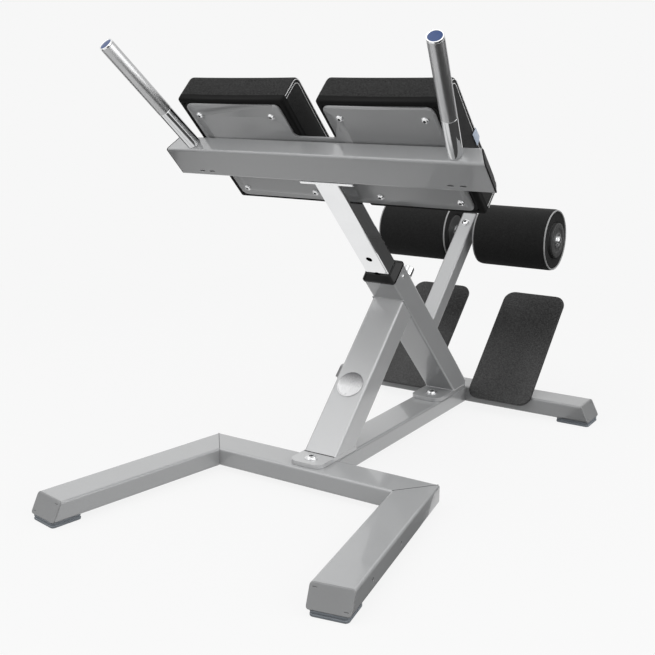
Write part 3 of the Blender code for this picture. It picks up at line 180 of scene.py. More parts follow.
cameraLook = {"lens": 55.594, "sensor": 36, "place": (1.1236, -1.88593, 0.840), "pitch": 76.19, "yaw": 33.01}
stageLook = {
    "background": 0.93,
    "floorGlow": 0.865,
    "floorCatch": 0.075,
    "floorFade": (1.1, 2.4),     # distance from the middle over which the floor becomes the backdrop
    "floorBounce": 0.15,
    "skyLow": 0.10,              # light from every side
    "skyHigh": 0.95,             # more of it from above
    "skyAim": (0.0, -0.14, 0.99),
    "skyFocus": 1.4,
    "floorSize": 16,
}
lampLook = {
    "overhead": {"place": (-0.9, -1.7, 2.9), "aim": (0, 0, 0.3), "size": (4.2, 3.6), "power": 42},
    "right": {"place": (2.9, 0.35, 1.5), "aim": (0, 0.1, 0.4), "size": (3.0, 2.6), "power": 42},
    "front": {"place": (-1.7, -2.5, 1.35), "aim": (0, 0, 0.3), "size": (2.0, 1.5), "power": 7},
    "side": {"place": (2.3, -2.0, 1.0), "aim": (0, 0, 0.5), "size": (1.2, 1.2), "power": 9},
}
cardLook = {
    "rearCard": {"place": (1.9, 2.6, 0.8), "aim": (0.1, 0, 0.45), "size": (2.6, 1.6), "level": 0.16},
    "rightFloorCard": {"place": (1.25, 1.05, 0.003), "aim": (1.25, 1.05, 1), "size": (1.9, 4.2), "level": 0.07},
    "leftFloorCard": {"place": (-1.3, -0.25, 0.003), "aim": (-1.3, -0.25, 1), "size": (0.7, 0.9), "level": 0.04},
}


def aimed(look):
    # A place that looks at its aim along local -Z.
    aim = Vector(look["aim"]) - Vector(look["place"])
    return Matrix.Translation(look["place"]) @ aim.to_track_quat("-Z", "Y").to_matrix().to_4x4()


def buildCamera():
    data = bpy.data.cameras.new("camera")
    data.lens = cameraLook["lens"]
    data.sensor_width = cameraLook["sensor"]
    camera = addObject("camera", data)
    camera.location = cameraLook["place"]
    camera.rotation_euler = (radians(cameraLook["pitch"]), 0, radians(cameraLook["yaw"]))
    bpy.context.scene.camera = camera


def seenDirectly(tree):
    # 1 for camera, glossy and transmission rays, so that metal shows the pale background too.
    rays = addNode(tree, "ShaderNodeLightPath").outputs
    first = mathNode(tree, "MAXIMUM", rays["Is Camera Ray"], rays["Is Glossy Ray"])
    return mathNode(tree, "MAXIMUM", first, rays["Is Transmission Ray"])


def buildWorld():
    look = stageLook
    world = bpy.data.worlds.new("studio")
    bpy.context.scene.world = world
    world.use_nodes = True
    tree = world.node_tree
    tree.nodes.clear()
    direction = addNode(tree, "ShaderNodeTexCoord").outputs["Generated"]
    upper = mathNode(tree, "MAXIMUM", vectorNode(tree, "DOT_PRODUCT", direction, look["skyAim"]), 0)
    focus = mathNode(tree, "POWER", upper, look["skyFocus"])
    strength = mathNode(tree, "MULTIPLY_ADD", focus, look["skyHigh"], look["skyLow"])
    light = addNode(tree, "ShaderNodeBackground", {"Color": grey(1), "Strength": strength})
    seen = addNode(tree, "ShaderNodeBackground", {"Color": grey(look["background"])})
    both = mixShaders(tree, seenDirectly(tree), light.outputs[0], seen.outputs[0])
    addNode(tree, "ShaderNodeOutputWorld", {0: both})


def flatPiece(name, place, size, material):
    corners = [(x * size[0] / 2, y * size[1] / 2, 0) for x, y in ((-1, -1), (1, -1), (1, 1), (-1, 1))]
    mesh = pointMesh(name, [place @ Vector(corner) for corner in corners], faces=[(0, 1, 2, 3)])
    mesh.materials.append(material)
    return addObject(name, mesh)


def buildFloor():
    look = stageLook
    material, tree = newMaterial("paleFloor", {})[:2]
    tree.nodes.clear()
    glow = addNode(tree, "ShaderNodeEmission", {"Color": grey(look["floorGlow"])})
    far = addNode(tree, "ShaderNodeEmission", {"Color": grey(look["background"])})
    catch = addNode(tree, "ShaderNodeBsdfDiffuse", {"Color": grey(look["floorCatch"])})
    bounce = addNode(tree, "ShaderNodeBsdfDiffuse", {"Color": grey(look["floorBounce"])})
    near = addNode(tree, "ShaderNodeAddShader", {0: glow.outputs[0], 1: catch.outputs[0]})
    start, end = look["floorFade"]
    fade = addNode(tree, "ShaderNodeMapRange", {
        "Value": vectorNode(tree, "LENGTH", objectPoint(tree)), "From Min": start, "From Max": end},
        interpolation_type="SMOOTHSTEP")
    shown = mixShaders(tree, fade.outputs["Result"], near.outputs[0], far.outputs[0])
    addNode(tree, "ShaderNodeOutputMaterial", {0: mixShaders(tree, seenDirectly(tree), bounce.outputs[0], shown)})
    flatPiece("floor", Matrix(), (look["floorSize"], look["floorSize"]), material)


def buildLamps():
    for name, look in lampLook.items():
        data = bpy.data.lights.new(name, "AREA")
        data.shape = "RECTANGLE"
        data.size, data.size_y = look["size"]
        data.energy = look["power"]
        addObject(name, data).matrix_world = aimed(look)


def buildCards():
    # Black cards that only reflections see, as a studio puts them round chrome.
    for name, look in cardLook.items():
        material = newMaterial(name, {"Base Color": grey(look["level"]), "Specular IOR Level": 0})[0]
        card = flatPiece(name, aimed(look), look["size"], material)
        card.visible_camera = card.visible_diffuse = card.visible_shadow = False


buildCamera()
buildWorld()
buildFloor()
buildLamps()
buildCards()
bpy.context.scene.view_settings.view_transform = "Standard"
print("camera, floor and light are in place")


# Shader groups that several finishes share

def newTree(kind, name, sockets, results):
    # Each socket has a name and a kind; whoever uses the tree sets every value.
    tree = bpy.data.node_groups.new(name, kind)
    for way, rows in (("INPUT", sockets), ("OUTPUT", results)):
        for label, socketKind in rows:
            tree.interface.new_socket(name=label, in_out=way, socket_type="NodeSocket" + socketKind)
    return tree, addNode(tree, "NodeGroupInput").outputs, addNode(tree, "NodeGroupOutput")


def useGroup(tree, group, inputs):
    return addNode(tree, "ShaderNodeGroup", inputs, node_tree=group).outputs


def objectNoise(tree, scale, detail=3.0, rough=0.55):
    scaled = vectorNode(tree, "MULTIPLY", objectPoint(tree), scale)
    return addNode(tree, "ShaderNodeTexNoise", {
        "Vector": scaled, "Scale": 1.0, "Detail": detail, "Roughness": rough}).outputs["Fac"]


def aboutZero(tree, noise):
    return rangeNode(tree, noise, 0.3, 0.7, -1.0, 1.0)


def alongPlace(tree, place, axis, start, end):
    # 0 to 1 between two distances along one of a place's axes.
    way = place.col[axis].to_3d()
    origin = way.dot(place.translation)
    return rangeNode(tree, vectorNode(tree, "DOT_PRODUCT", objectPoint(tree), way), origin + start, origin + end)


def buildGrainGroup():
    # Fine noise at its own scale, for orange peel and moulded grain.
    tree, given, result = newTree("ShaderNodeTree", "surfaceGrain", [("Scale", "Vector")], [("Value", "Float")])
    feed(tree, result, {"Value": aboutZero(tree, objectNoise(tree, given["Scale"]))})
    return tree


def buildPatchGroup():
    # A colour that wanders a little over a surface, with a finer speckle on top.
    tree, given, result = newTree("ShaderNodeTree", "wanderingColour", [
        ("Color", "Color"), ("Spread", "Float"), ("Scale", "Vector"), ("Speckle", "Float"),
        ("Speckle Scale", "Vector")], [("Color", "Color"), ("Mask", "Float")])
    slow = aboutZero(tree, objectNoise(tree, given["Scale"]))
    fast = aboutZero(tree, objectNoise(tree, given["Speckle Scale"], 1.0))
    change = mathNode(tree, "ADD", times(tree, slow, given["Spread"]), times(tree, fast, given["Speckle"]))
    scaled = addNode(tree, "ShaderNodeVectorMath", {
        0: given["Color"], "Scale": mathNode(tree, "ADD", change, 1.0)}, operation="SCALE")
    mask = mathNode(tree, "ADD", times(tree, slow, 0.5), 0.5)
    feed(tree, result, {"Color": scaled.outputs[0], "Mask": mask})
    return tree


def buildEdgeGroup():
    # A softened normal, and a mask that is 1 on outer edges, where paint wears thin and catches light.
    tree, given, result = newTree(
        "ShaderNodeTree", "softEdge", [("Radius", "Float")], [("Normal", "Vector"), ("Edge", "Float")])
    soft = addNode(tree, "ShaderNodeBevel", {"Radius": given["Radius"]}, samples=6).outputs["Normal"]
    flat = addNode(tree, "ShaderNodeNewGeometry").outputs["Normal"]
    edge = rangeNode(tree, vectorNode(tree, "DOT_PRODUCT", soft, flat), 0.99, 0.80)
    feed(tree, result, {"Normal": soft, "Edge": edge})
    return tree


def buildClothGroup():
    # Heathered cloth: light and dark fibres at two sizes, and a height for its weave.
    tree, given, result = newTree("ShaderNodeTree", "heatherCloth", [
        ("Dark", "Color"), ("Light", "Color"), ("Fibre Scale", "Vector"), ("Weave Scale", "Vector"),
        ("Balance", "Float")], [("Color", "Color"), ("Height", "Float")])
    fibres = objectNoise(tree, given["Fibre Scale"], 4.0, 0.7)
    weave = objectNoise(tree, given["Weave Scale"], 2.0)
    both = mathNode(tree, "ADD", times(tree, fibres, 0.65), times(tree, weave, 0.35))
    shifted = mathNode(tree, "ADD", both, mathNode(tree, "SUBTRACT", given["Balance"], 0.5))
    colour = mixColours(tree, rangeNode(tree, shifted, 0.36, 0.64), given["Dark"], given["Light"])
    feed(tree, result, {"Color": colour, "Height": both})
    return tree


def buildScratchGroup():
    # Hairlines drawn along one axis of a stretched noise.
    tree, given, result = newTree("ShaderNodeTree", "hairlines", [("Scale", "Vector")], [("Mask", "Float")])
    feed(tree, result, {"Mask": rangeNode(tree, objectNoise(tree, given["Scale"], 2.0), 0.42, 0.62)})
    return tree


def buildKnurlGroup():
    # Crossed ridges on the piece's own UV map, one diamond for each UV unit.
    tree, given, result = newTree("ShaderNodeTree", "diamondKnurl", [], [("Height", "Float")])
    uv = addNode(tree, "ShaderNodeUVMap", uv_map="grip").outputs["UV"]
    across, along = addNode(tree, "ShaderNodeSeparateXYZ", {0: uv}).outputs[:2]
    ridges = []
    for operation in ("ADD", "SUBTRACT"):
        wave = mathNode(tree, "SINE", times(tree, mathNode(tree, operation, across, along), pi))
        ridges.append(mathNode(tree, "ABSOLUTE", wave))
    feed(tree, result, {"Height": mathNode(tree, "MINIMUM", *ridges)})
    return tree


grainGroup = buildGrainGroup()
patchGroup = buildPatchGroup()
edgeGroup = buildEdgeGroup()
clothGroup = buildClothGroup()
scratchGroup = buildScratchGroup()
knurlGroup = buildKnurlGroup()


# Finishes. Each kind has a base, and each finish gives what differs from it.

paintBase = {
    "metallic": 0.16, "coat": 0.8, "coatRoughness": 0.11, "roughness": 0.40, "drift": 0.04, "spread": 0.03,
    "patchScale": 5, "speckle": 0.05, "speckleScale": 1600, "edgeRadius": 0.0014, "wearAndHighlight": 0.35, "grain": 0.05,
    "grainScale": evenly(1000), "grainDepth": 0.00012}
metalBase = {
    "spread": 0.03, "patchScale": 14, "speckle": 0.02, "speckleScale": 1400, "lineDepth": 0.03,
    "lineScale": (300, 8, 8), "edgeRadius": 0.0006, "bumpDepth": 0.00006}
gripBase = {
    "spread": 0.05, "patchScale": 20, "speckle": 0.05, "speckleScale": 1400, "grooveRoughness": 0.15,
    "grooveTop": 0.35, "ridgeTop": 0.6, "bumpDepth": 0.00025}
plasticBase = {
    "specular": 0.5, "rubbed": 0.7, "spread": 0.1, "patchScale": 12, "speckle": 0.1, "speckleScale": 1400,
    "edgeRadius": 0.0006, "wearAndHighlight": 0.2, "grain": 0.2, "grainScale": evenly(1500), "grainDepth": 0.0002}
clothBase = {
    "weaveScale": evenly(900), "sheen": 0.1, "sheenRoughness": 0.5, "specular": 0.3, "bumpDepth": 0.0002}


def addBump(tree, shader, height, strength, distance, normal=None):
    bump = addNode(tree, "ShaderNodeBump", {"Strength": strength, "Distance": distance, "Height": height})
    if normal is not None:
        feed(tree, bump, {"Normal": normal})
    feed(tree, shader, {"Normal": bump.outputs[0]})


def wanderingColour(tree, look):
    return useGroup(tree, patchGroup, {
        "Color": look["colour"], "Spread": look["spread"], "Scale": evenly(look["patchScale"]),
        "Speckle": look["speckle"], "Speckle Scale": evenly(look["speckleScale"])})


def skinFinish(name, look, values, roughBy, roughness):
    # A grained skin whose edges are mixed to another colour: rubbed wear, and on the paints a painted highlight.
    material, tree, shader = newMaterial(name, values)
    edge = useGroup(tree, edgeGroup, {"Radius": look["edgeRadius"]})
    colour = wanderingColour(tree, look)
    # Edges mixed to the edge colour: rubbed wear, and on the silver paints a painted highlight along the edges.
    shown = mixColours(tree, times(tree, edge["Edge"], look["wearAndHighlight"]), colour["Color"], look["edgeColour"])
    source = {"drift": colour["Mask"], "edge": edge["Edge"]}[roughBy]
    feed(tree, shader, {"Base Color": shown, "Roughness": rangeNode(tree, source, 0.0, 1.0, *roughness)})
    grain = useGroup(tree, grainGroup, {"Scale": look["grainScale"]})
    addBump(tree, shader, grain["Value"], look["grain"], look["grainDepth"], edge["Normal"])
    return material


def paintFinish(name, look):
    # Sprayed metallic paint: slow colour drift, flake, orange peel, and brighter edges, partly wear and partly a
    # painted highlight.
    look = {**paintBase, **look}
    values = {
        "Metallic": look["metallic"], "Coat Weight": look["coat"], "Coat Roughness": look["coatRoughness"]}
    middle, drift = look["roughness"], look["drift"]
    return skinFinish(name, look, values, "drift", (middle - drift, middle + drift))


def plasticFinish(name, look):
    # Moulded plastic or rubber, a little shinier where it is rubbed.
    look = {**plasticBase, **look}
    roughness = (look["roughness"], look["roughness"] * look["rubbed"])
    return skinFinish(name, look, {"Specular IOR Level": look["specular"]}, "edge", roughness)


def metalFinish(name, look):
    # Bare or plated metal: hairlines in its roughness and a trace of them in its normal.
    look = {**metalBase, **look}
    material, tree, shader = newMaterial(name, {"Metallic": 1.0})
    edge = useGroup(tree, edgeGroup, {"Radius": look["edgeRadius"]})
    shown = wanderingColour(tree, look)["Color"]
    if "shade" in look:
        # Painted reflection and shade: the badge is mixed darker towards the top of the strut.
        shade = look["shade"]
        mask = alongPlace(tree, strutPlace, 2, shade["from"], shade["to"])
        shown = mixColours(tree, mask, shown, shade["colour"])
    lines = useGroup(tree, scratchGroup, {"Scale": look["lineScale"]})["Mask"]
    feed(tree, shader, {"Base Color": shown, "Roughness": rangeNode(tree, lines, 0.0, 1.0, *look["roughness"])})
    addBump(tree, shader, lines, look["lineDepth"], look["bumpDepth"], edge["Normal"])
    return material


def knurlFinish(name, look):
    look = {**gripBase, **look}
    material, tree, shader = newMaterial(name, {"Metallic": 1.0})
    colour = wanderingColour(tree, look)["Color"]
    height = useGroup(tree, knurlGroup, {})["Height"]
    raised = rangeNode(tree, height, 0.0, look["grooveTop"])
    rough = look["roughness"] + look["grooveRoughness"]
    # Painted shade: the grooves between the diamonds take a darker colour than the ridges.
    feed(tree, shader, {
        "Base Color": mixColours(tree, raised, look["paintedGrooveShade"], colour),
        "Roughness": rangeNode(tree, height, 0.0, look["ridgeTop"], rough, look["roughness"])})
    addBump(tree, shader, height, look["bump"], look["bumpDepth"])
    return material


def clothFinish(name, look):
    # Heathered cover cloth; where a band is given, the cloth is drawn darker along the edge next to the board.
    look = {**clothBase, **look}
    material, tree, shader = newMaterial(name, {
        "Roughness": look["roughness"], "Sheen Weight": look["sheen"],
        "Sheen Roughness": look["sheenRoughness"], "Specular IOR Level": look["specular"]})
    cloth = useGroup(tree, clothGroup, {
        "Dark": look["dark"], "Light": look["light"], "Fibre Scale": look["fibreScale"],
        "Weave Scale": look["weaveScale"], "Balance": look["balance"]})
    colour = cloth["Color"]
    if "band" in look:
        start, width = look["band"]
        mask = alongPlace(tree, columnPlace, 1, start, start + width)
        colour = mixColours(tree, mask, look["bandColour"], colour)
    feed(tree, shader, {"Base Color": colour})
    addBump(tree, shader, cloth["Height"], look["bump"], look["bumpDepth"])
    return material


# Edges far lighter than the paint: a painted highlight along the tube edges, with some wear.
silverPaint = paintFinish("silverPaint", {
    "colour": (0.400, 0.405, 0.410, 1), "edgeColour": grey(0.74), "coatRoughness": 0.07, "roughness": 0.34,
    "wearAndHighlight": 0.6})
# Painted light: the strut takes a lighter copy of the silver paint, standing in for light that the beam and pads
# keep off it.
litStrutPaint = paintFinish("litStrutPaint", {
    "colour": (0.505, 0.51, 0.515, 1), "edgeColour": grey(0.66), "metallic": 0.18, "coat": 1.0, "speckle": 0.06,
    "grain": 0.06})
# Painted shade: the rear tube takes a darker copy of the silver paint, for the shade under the foot plates.
rearPaint = paintFinish("rearPaint", {
    "colour": (0.300, 0.304, 0.308, 1), "edgeColour": grey(0.50), "metallic": 0.12})
platePaint = paintFinish("platePaint", {
    "colour": (0.350, 0.353, 0.357, 1), "edgeColour": grey(0.54), "metallic": 0.20, "coat": 0.7,
    "coatRoughness": 0.22, "roughness": 0.42, "edgeRadius": 0.0008, "wearAndHighlight": 0.5, "grain": 0.04,
    "grainScale": evenly(900)})
chromeSteel = metalFinish("chromeSteel", {
    "colour": (0.84, 0.845, 0.85, 1), "spread": 0.02, "roughness": (0.05, 0.10)})
handleSteel = metalFinish("handleSteel", {"colour": (0.66, 0.665, 0.67, 1), "roughness": (0.07, 0.13)})
zincSteel = metalFinish("zincSteel", {
    "colour": (0.80, 0.805, 0.81, 1), "spread": 0.05, "roughness": (0.16, 0.28), "lineDepth": 0.06,
    "lineScale": evenly(600), "edgeRadius": 0.0004})
knobSteel = metalFinish("knobSteel", {
    "colour": (0.72, 0.725, 0.73, 1), "roughness": (0.14, 0.22), "lineDepth": 0.04, "lineScale": (900, 60, 60)})
# The badge darkens upwards: a painted reflection fading into painted shade.
badgeSteel = metalFinish("badgeSteel", {
    "colour": (0.55, 0.55, 0.555, 1), "spread": 0.08, "roughness": (0.20, 0.34), "lineDepth": 0.12,
    "lineScale": (2200, 60, 60), "edgeRadius": 0.0005,
    "shade": {"colour": (0.16, 0.16, 0.165, 1), "from": 0.168, "to": 0.201}})
gripSteel = knurlFinish("gripSteel", {
    "colour": (0.53, 0.532, 0.536, 1), "paintedGrooveShade": grey(0.40), "roughness": 0.29, "bump": 0.03})
collarPlastic = plasticFinish("collarPlastic", {
    "colour": grey(0.005), "edgeColour": grey(0.012), "specular": 0.22, "roughness": 0.10, "speckle": 0.05,
    "grain": 0.03, "edgeRadius": 0.0012, "wearAndHighlight": 0.3})
blackPlastic = plasticFinish("blackPlastic", {
    "colour": grey(0.014), "edgeColour": grey(0.05), "roughness": 0.36, "speckle": 0.08, "grain": 0.16,
    "edgeRadius": 0.0008, "wearAndHighlight": 0.5})
capPlastic = plasticFinish("capPlastic", {
    "colour": (0.262, 0.265, 0.268, 1), "edgeColour": grey(0.38), "roughness": 0.40, "spread": 0.03,
    "speckle": 0.04, "grain": 0.12, "edgeRadius": 0.001, "wearAndHighlight": 0.3})
hubPlastic = plasticFinish("hubPlastic", {
    "colour": grey(0.052), "edgeColour": grey(0.10), "roughness": 0.42, "spread": 0.06, "speckle": 0.05,
    "grain": 0.14, "wearAndHighlight": 0.4})
discPlastic = plasticFinish("discPlastic", {
    "colour": (0.02, 0.06, 0.20, 1), "edgeColour": (0.06, 0.12, 0.28, 1), "roughness": 0.3, "spread": 0.04,
    "speckle": 0.03, "grain": 0.06, "edgeRadius": 0.0005, "wearAndHighlight": 0.3})
footRubber = plasticFinish("footRubber", {
    "colour": (0.225, 0.245, 0.268, 1), "edgeColour": (0.32, 0.34, 0.37, 1), "specular": 0.3, "roughness": 0.7,
    "spread": 0.08, "speckle": 0.08, "grain": 0.25, "grainScale": evenly(1200), "edgeRadius": 0.0008, "wearAndHighlight": 0.4})
gripRubber = plasticFinish("gripRubber", {
    "colour": grey(0.019), "edgeColour": grey(0.008), "roughness": 0.44, "spread": 0.2, "speckle": 0.9,
    "speckleScale": 260, "grain": 1.0, "grainScale": evenly(260), "edgeRadius": 0.0012, "wearAndHighlight": 0.8})
footPlatePaint = plasticFinish("footPlatePaint", {
    "colour": grey(0.022), "edgeColour": grey(0.06), "specular": 0.4, "roughness": 0.5, "spread": 0.08,
    "speckle": 0.08, "grainScale": evenly(1300), "edgeRadius": 0.0008, "wearAndHighlight": 0.35})
seamShade = plasticFinish("seamShade", {
    "colour": grey(0.035), "edgeColour": grey(0.05), "specular": 0.2, "roughness": 0.8, "edgeRadius": 0.0003})
dullBlack = plasticFinish("dullBlack", {
    "colour": grey(0.012), "edgeColour": grey(0.03), "specular": 0.2, "roughness": 0.6})
boardFinish = plasticFinish("boardFinish", {
    "colour": grey(0.014), "edgeColour": grey(0.03), "specular": 0.25, "roughness": 0.8, "spread": 0.15,
    "speckle": 0.15, "grain": 0.3, "grainScale": (700, 700, 2200)})
padCloth = clothFinish("padCloth", {
    "dark": grey(0.006), "light": grey(0.062), "fibreScale": (360, 360, 900), "balance": 0.46, "roughness": 0.9,
    "sheen": 0.04, "specular": 0.15, "bump": 0.4, "bumpDepth": 0.0004, "band": (0.0396, 0.0006),
    "bandColour": grey(0.006)})
rollerCloth = clothFinish("rollerCloth", {
    "dark": grey(0.004), "light": grey(0.031), "fibreScale": (900, 360, 360), "balance": 0.44, "roughness": 0.85,
    "sheen": 0.05, "specular": 0.18, "bump": 0.35, "bumpDepth": 0.0004})
pipingCloth = clothFinish("pipingCloth", {
    "dark": grey(0.22), "light": grey(0.50), "fibreScale": evenly(1500), "weaveScale": evenly(1900),
    "balance": 0.52, "roughness": 0.7, "bump": 0.4, "bumpDepth": 0.0003})
threadCloth = clothFinish("threadCloth", {
    "dark": grey(0.58), "light": grey(0.86), "fibreScale": evenly(2600), "weaveScale": evenly(3000),
    "balance": 0.55, "roughness": 0.6, "bump": 0.3})
tagCloth = clothFinish("tagCloth", {
    "dark": (0.36, 0.42, 0.52, 1), "light": (0.58, 0.66, 0.78, 1), "fibreScale": (900, 900, 3500),
    "weaveScale": (3500, 900, 900), "balance": 0.5, "roughness": 0.55, "sheen": 0.2, "specular": 0.4,
    "bump": 0.25})
print("finishes:", len(bpy.data.materials) - 1)


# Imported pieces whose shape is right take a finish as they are

def leftAndRight(*names):
    return tuple(f"{label}_{name}" for name in names for side, label in sides)


nodeFinishes = {
    silverPaint: ("front_crossbar", "spine_tube", "outer_column", "top_beam", "roller_arm",
                  *leftAndRight("front_leg")),
    litStrutPaint: ("front_strut",),
    rearPaint: ("rear_cross_tube",),
    platePaint: ("pad_plate",),
    chromeSteel: ("inner_tube", "flange_plate", "lock_pin"),
    zincSteel: ("lock_housing", "lock_spring", "roller_axle"),
    knobSteel: ("lock_knob",),
    collarPlastic: ("column_collar",),
    blackPlastic: ("inner_tube_glide", "arm_end_plug"),
    capPlastic: leftAndRight("front_end_cap", "rear_end_cap"),
    footRubber: leftAndRight("front_foot", "rear_foot"),
    hubPlastic: leftAndRight("roller_core", "roller_hub"),
    footPlatePaint: leftAndRight("foot_plate"),
    dullBlack: leftAndRight("beam_cap"),
    boardFinish: leftAndRight("pad_board"),
    badgeSteel: ("badge",),
}
for finish, names in nodeFinishes.items():
    for name in names:
        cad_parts[name].data.materials.clear()
        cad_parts[name].data.materials.append(finish)
print("packed pieces with a finish:", sum(len(names) for names in nodeFinishes.values()))


# Making pieces

def shade(mesh, sharp):
    mesh.shade_smooth()
    mesh.set_sharp_from_angle(angle=radians(sharp))


def addPiece(name, bm, material, sharp=40):
    mesh = bpy.data.meshes.new(name)
    bm.to_mesh(mesh)
    bm.free()
    shade(mesh, sharp)
    mesh.materials.append(material)
    return addObject(name, mesh)


def settle(piece, body, replaced=()):
    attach(piece, body)
    if replaced:
        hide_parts(*replaced)


def applyModifiers(piece):
    depsgraph = bpy.context.evaluated_depsgraph_get()
    mesh = bpy.data.meshes.new_from_object(piece.evaluated_get(depsgraph), depsgraph=depsgraph)
    piece.modifiers.clear()
    piece.data = mesh
    return mesh


def turnedOut(bm):
    bmesh.ops.recalc_face_normals(bm, faces=bm.faces)
    return bm


def bridge(bm, rings, closed=False):
    # Faces between each ring and the next; a ring of one point closes an end.
    for first, second in zip(rings, rings[1:] + (rings[:1] if closed else [])):
        steps = max(len(first), len(second))
        for step in range(steps):
            after = (step + 1) % steps
            corners = [first[step % len(first)], first[after % len(first)], second[after % len(second)],
                       second[step % len(second)]]
            unique = list(dict.fromkeys(corners))
            if len(unique) > 2:
                bm.faces.new(unique)


def roundedProfile(points, radius, steps=3):
    # The same profile with each inner corner turned into a short arc.
    result = [points[0]]
    for before, corner, after in zip(points, points[1:], points[2:]):
        middle = Vector(corner)
        back = Vector(before) - middle
        ahead = Vector(after) - middle
        reach = min(radius, back.length * 0.45, ahead.length * 0.45)
        first = middle + back.normalized() * reach
        last = middle + ahead.normalized() * reach
        for step in range(steps + 1):
            share = step / steps
            result.append(tuple(first.lerp(middle, share).lerp(middle.lerp(last, share), share)))
    result.append(points[-1])
    return result


def spinProfile(profile, place, steps, closed=False, bm=None):
    # Profile points are (radius, distance along local Z); a zero radius closes an end.
    bm = bm or bmesh.new()
    rings = []
    for radius, height in profile:
        angles = [2 * pi * step / steps for step in range(steps if radius > 1e-7 else 1)]
        rings.append([
            bm.verts.new(place @ Vector((radius * cos(angle), radius * sin(angle), height))) for angle in angles])
    bridge(bm, rings, closed)
    return turnedOut(bm)


# Repeated pieces: one tree for screws and one for rows of stitches or weld scales

def moved(tree, shape, up=None, size=None):
    inputs = {"Geometry": shape}
    if up is not None:
        inputs["Translation"] = addNode(tree, "ShaderNodeCombineXYZ", {2: up}).outputs[0]
    if size is not None:
        inputs["Scale"] = addNode(tree, "ShaderNodeCombineXYZ", dict(enumerate(size))).outputs[0]
    return addNode(tree, "GeometryNodeTransform", inputs).outputs[0]


def cylinder(tree, vertices, radius, depth):
    return addNode(tree, "GeometryNodeMeshCylinder", {
        "Vertices": vertices, "Radius": radius, "Depth": depth}).outputs["Mesh"]


def ball(tree, segments, rings, radius):
    return addNode(tree, "GeometryNodeMeshUVSphere", {
        "Segments": segments, "Rings": rings, "Radius": radius}).outputs["Mesh"]


def combined(tree, operation, inputs):
    return addNode(tree, "GeometryNodeMeshBoolean", inputs, operation=operation, solver="EXACT").outputs[0]


def finishRepeats(tree, points, shape, way, material, result, only=None):
    # The shape stands on each point, turned the given way, as real mesh with its material.
    turn = addNode(tree, "FunctionNodeAlignRotationToVector", {"Vector": way}, axis="Z").outputs[0]
    spread = addNode(tree, "GeometryNodeInstanceOnPoints", {"Points": points, "Instance": shape, "Rotation": turn})
    real = addNode(tree, "GeometryNodeRealizeInstances", {0: spread.outputs[0]}).outputs[0]
    dressed = addNode(tree, "GeometryNodeSetMaterial", {"Geometry": real, "Material": material})
    if only is not None:
        chosen = addNode(tree, "GeometryNodeInputNamedAttribute", {"Name": only}, data_type="BOOLEAN")
        feed(tree, dressed, {"Selection": chosen.outputs["Attribute"]})
    feed(tree, result, {0: dressed.outputs[0]})


screwInputs = ("Head Radius", "Head Height", "Socket Radius", "Washer Radius", "Washer Height")
headLook = {
    # shares of the head's height
    "flank": 0.3,
    "dome": 0.7,
    "socketMiddle": 0.85,
    "shadeMiddle": 0.51,
    "shadeHeight": 0.30,
    # share of the socket's radius
    "shadeRadius": 0.97,
    "headSteps": (32, 16),
    "washerSteps": 40,
}


def buildScrewTree():
    # A domed head with a hexagon socket on a washer, at every point, facing the point's own way.
    look = headLook
    around, up = look["headSteps"]
    tree, given, result = newTree("GeometryNodeTree", "socketScrews", [
        ("Geometry", "Geometry"), *((label, "Float") for label in screwInputs),
        ("Socket Material", "Material"), ("Material", "Material")], [("Geometry", "Geometry")])
    radius, height = given["Head Radius"], given["Head Height"]
    socketRadius, washer = given["Socket Radius"], given["Washer Height"]

    def share(part, value=height):
        return times(tree, value, part)

    dome = moved(tree, ball(tree, around, up, 1.0), size=(radius, radius, share(look["dome"])))
    wide = share(4.0, radius)
    size = addNode(tree, "ShaderNodeCombineXYZ", {0: wide, 1: wide, 2: height}).outputs[0]
    upper = moved(tree, addNode(tree, "GeometryNodeMeshCube", {"Size": size}).outputs["Mesh"], share(0.5))
    flank = share(look["flank"])
    crown = moved(tree, combined(tree, "INTERSECT", {1: [dome, upper]}), flank)
    base = moved(tree, cylinder(tree, around, radius, flank), share(0.5, flank))
    solid = combined(tree, "UNION", {1: [crown, base]})
    socket = moved(tree, cylinder(tree, 6, socketRadius, height), share(look["socketMiddle"]))
    head = moved(tree, combined(tree, "DIFFERENCE", {0: solid, 1: socket}), washer)
    plate = moved(
        tree, cylinder(tree, look["washerSteps"], given["Washer Radius"], washer), share(0.5, washer))
    bright = addNode(tree, "GeometryNodeJoinGeometry", {0: [head, plate]}).outputs[0]
    marked = addNode(tree, "GeometryNodeStoreNamedAttribute", data_type="BOOLEAN", domain="FACE")
    feed(tree, marked, {"Geometry": bright, "Name": "bright", "Value": True})
    # Painted shade: a dark hexagon at the bottom of the socket.
    lift = mathNode(tree, "ADD", washer, share(look["shadeMiddle"]))
    floor = cylinder(tree, 6, share(look["shadeRadius"], socketRadius), share(look["shadeHeight"]))
    floor = moved(tree, floor, lift)
    dark = addNode(tree, "GeometryNodeSetMaterial", {"Geometry": floor, "Material": given["Socket Material"]})
    whole = addNode(tree, "GeometryNodeJoinGeometry", {0: [marked.outputs[0], dark.outputs[0]]}).outputs[0]
    facing = addNode(tree, "GeometryNodeInputNamedAttribute", {"Name": "facing"}, data_type="FLOAT_VECTOR")
    finishRepeats(
        tree, given["Geometry"], whole, facing.outputs["Attribute"], given["Material"], result, "bright")
    return tree


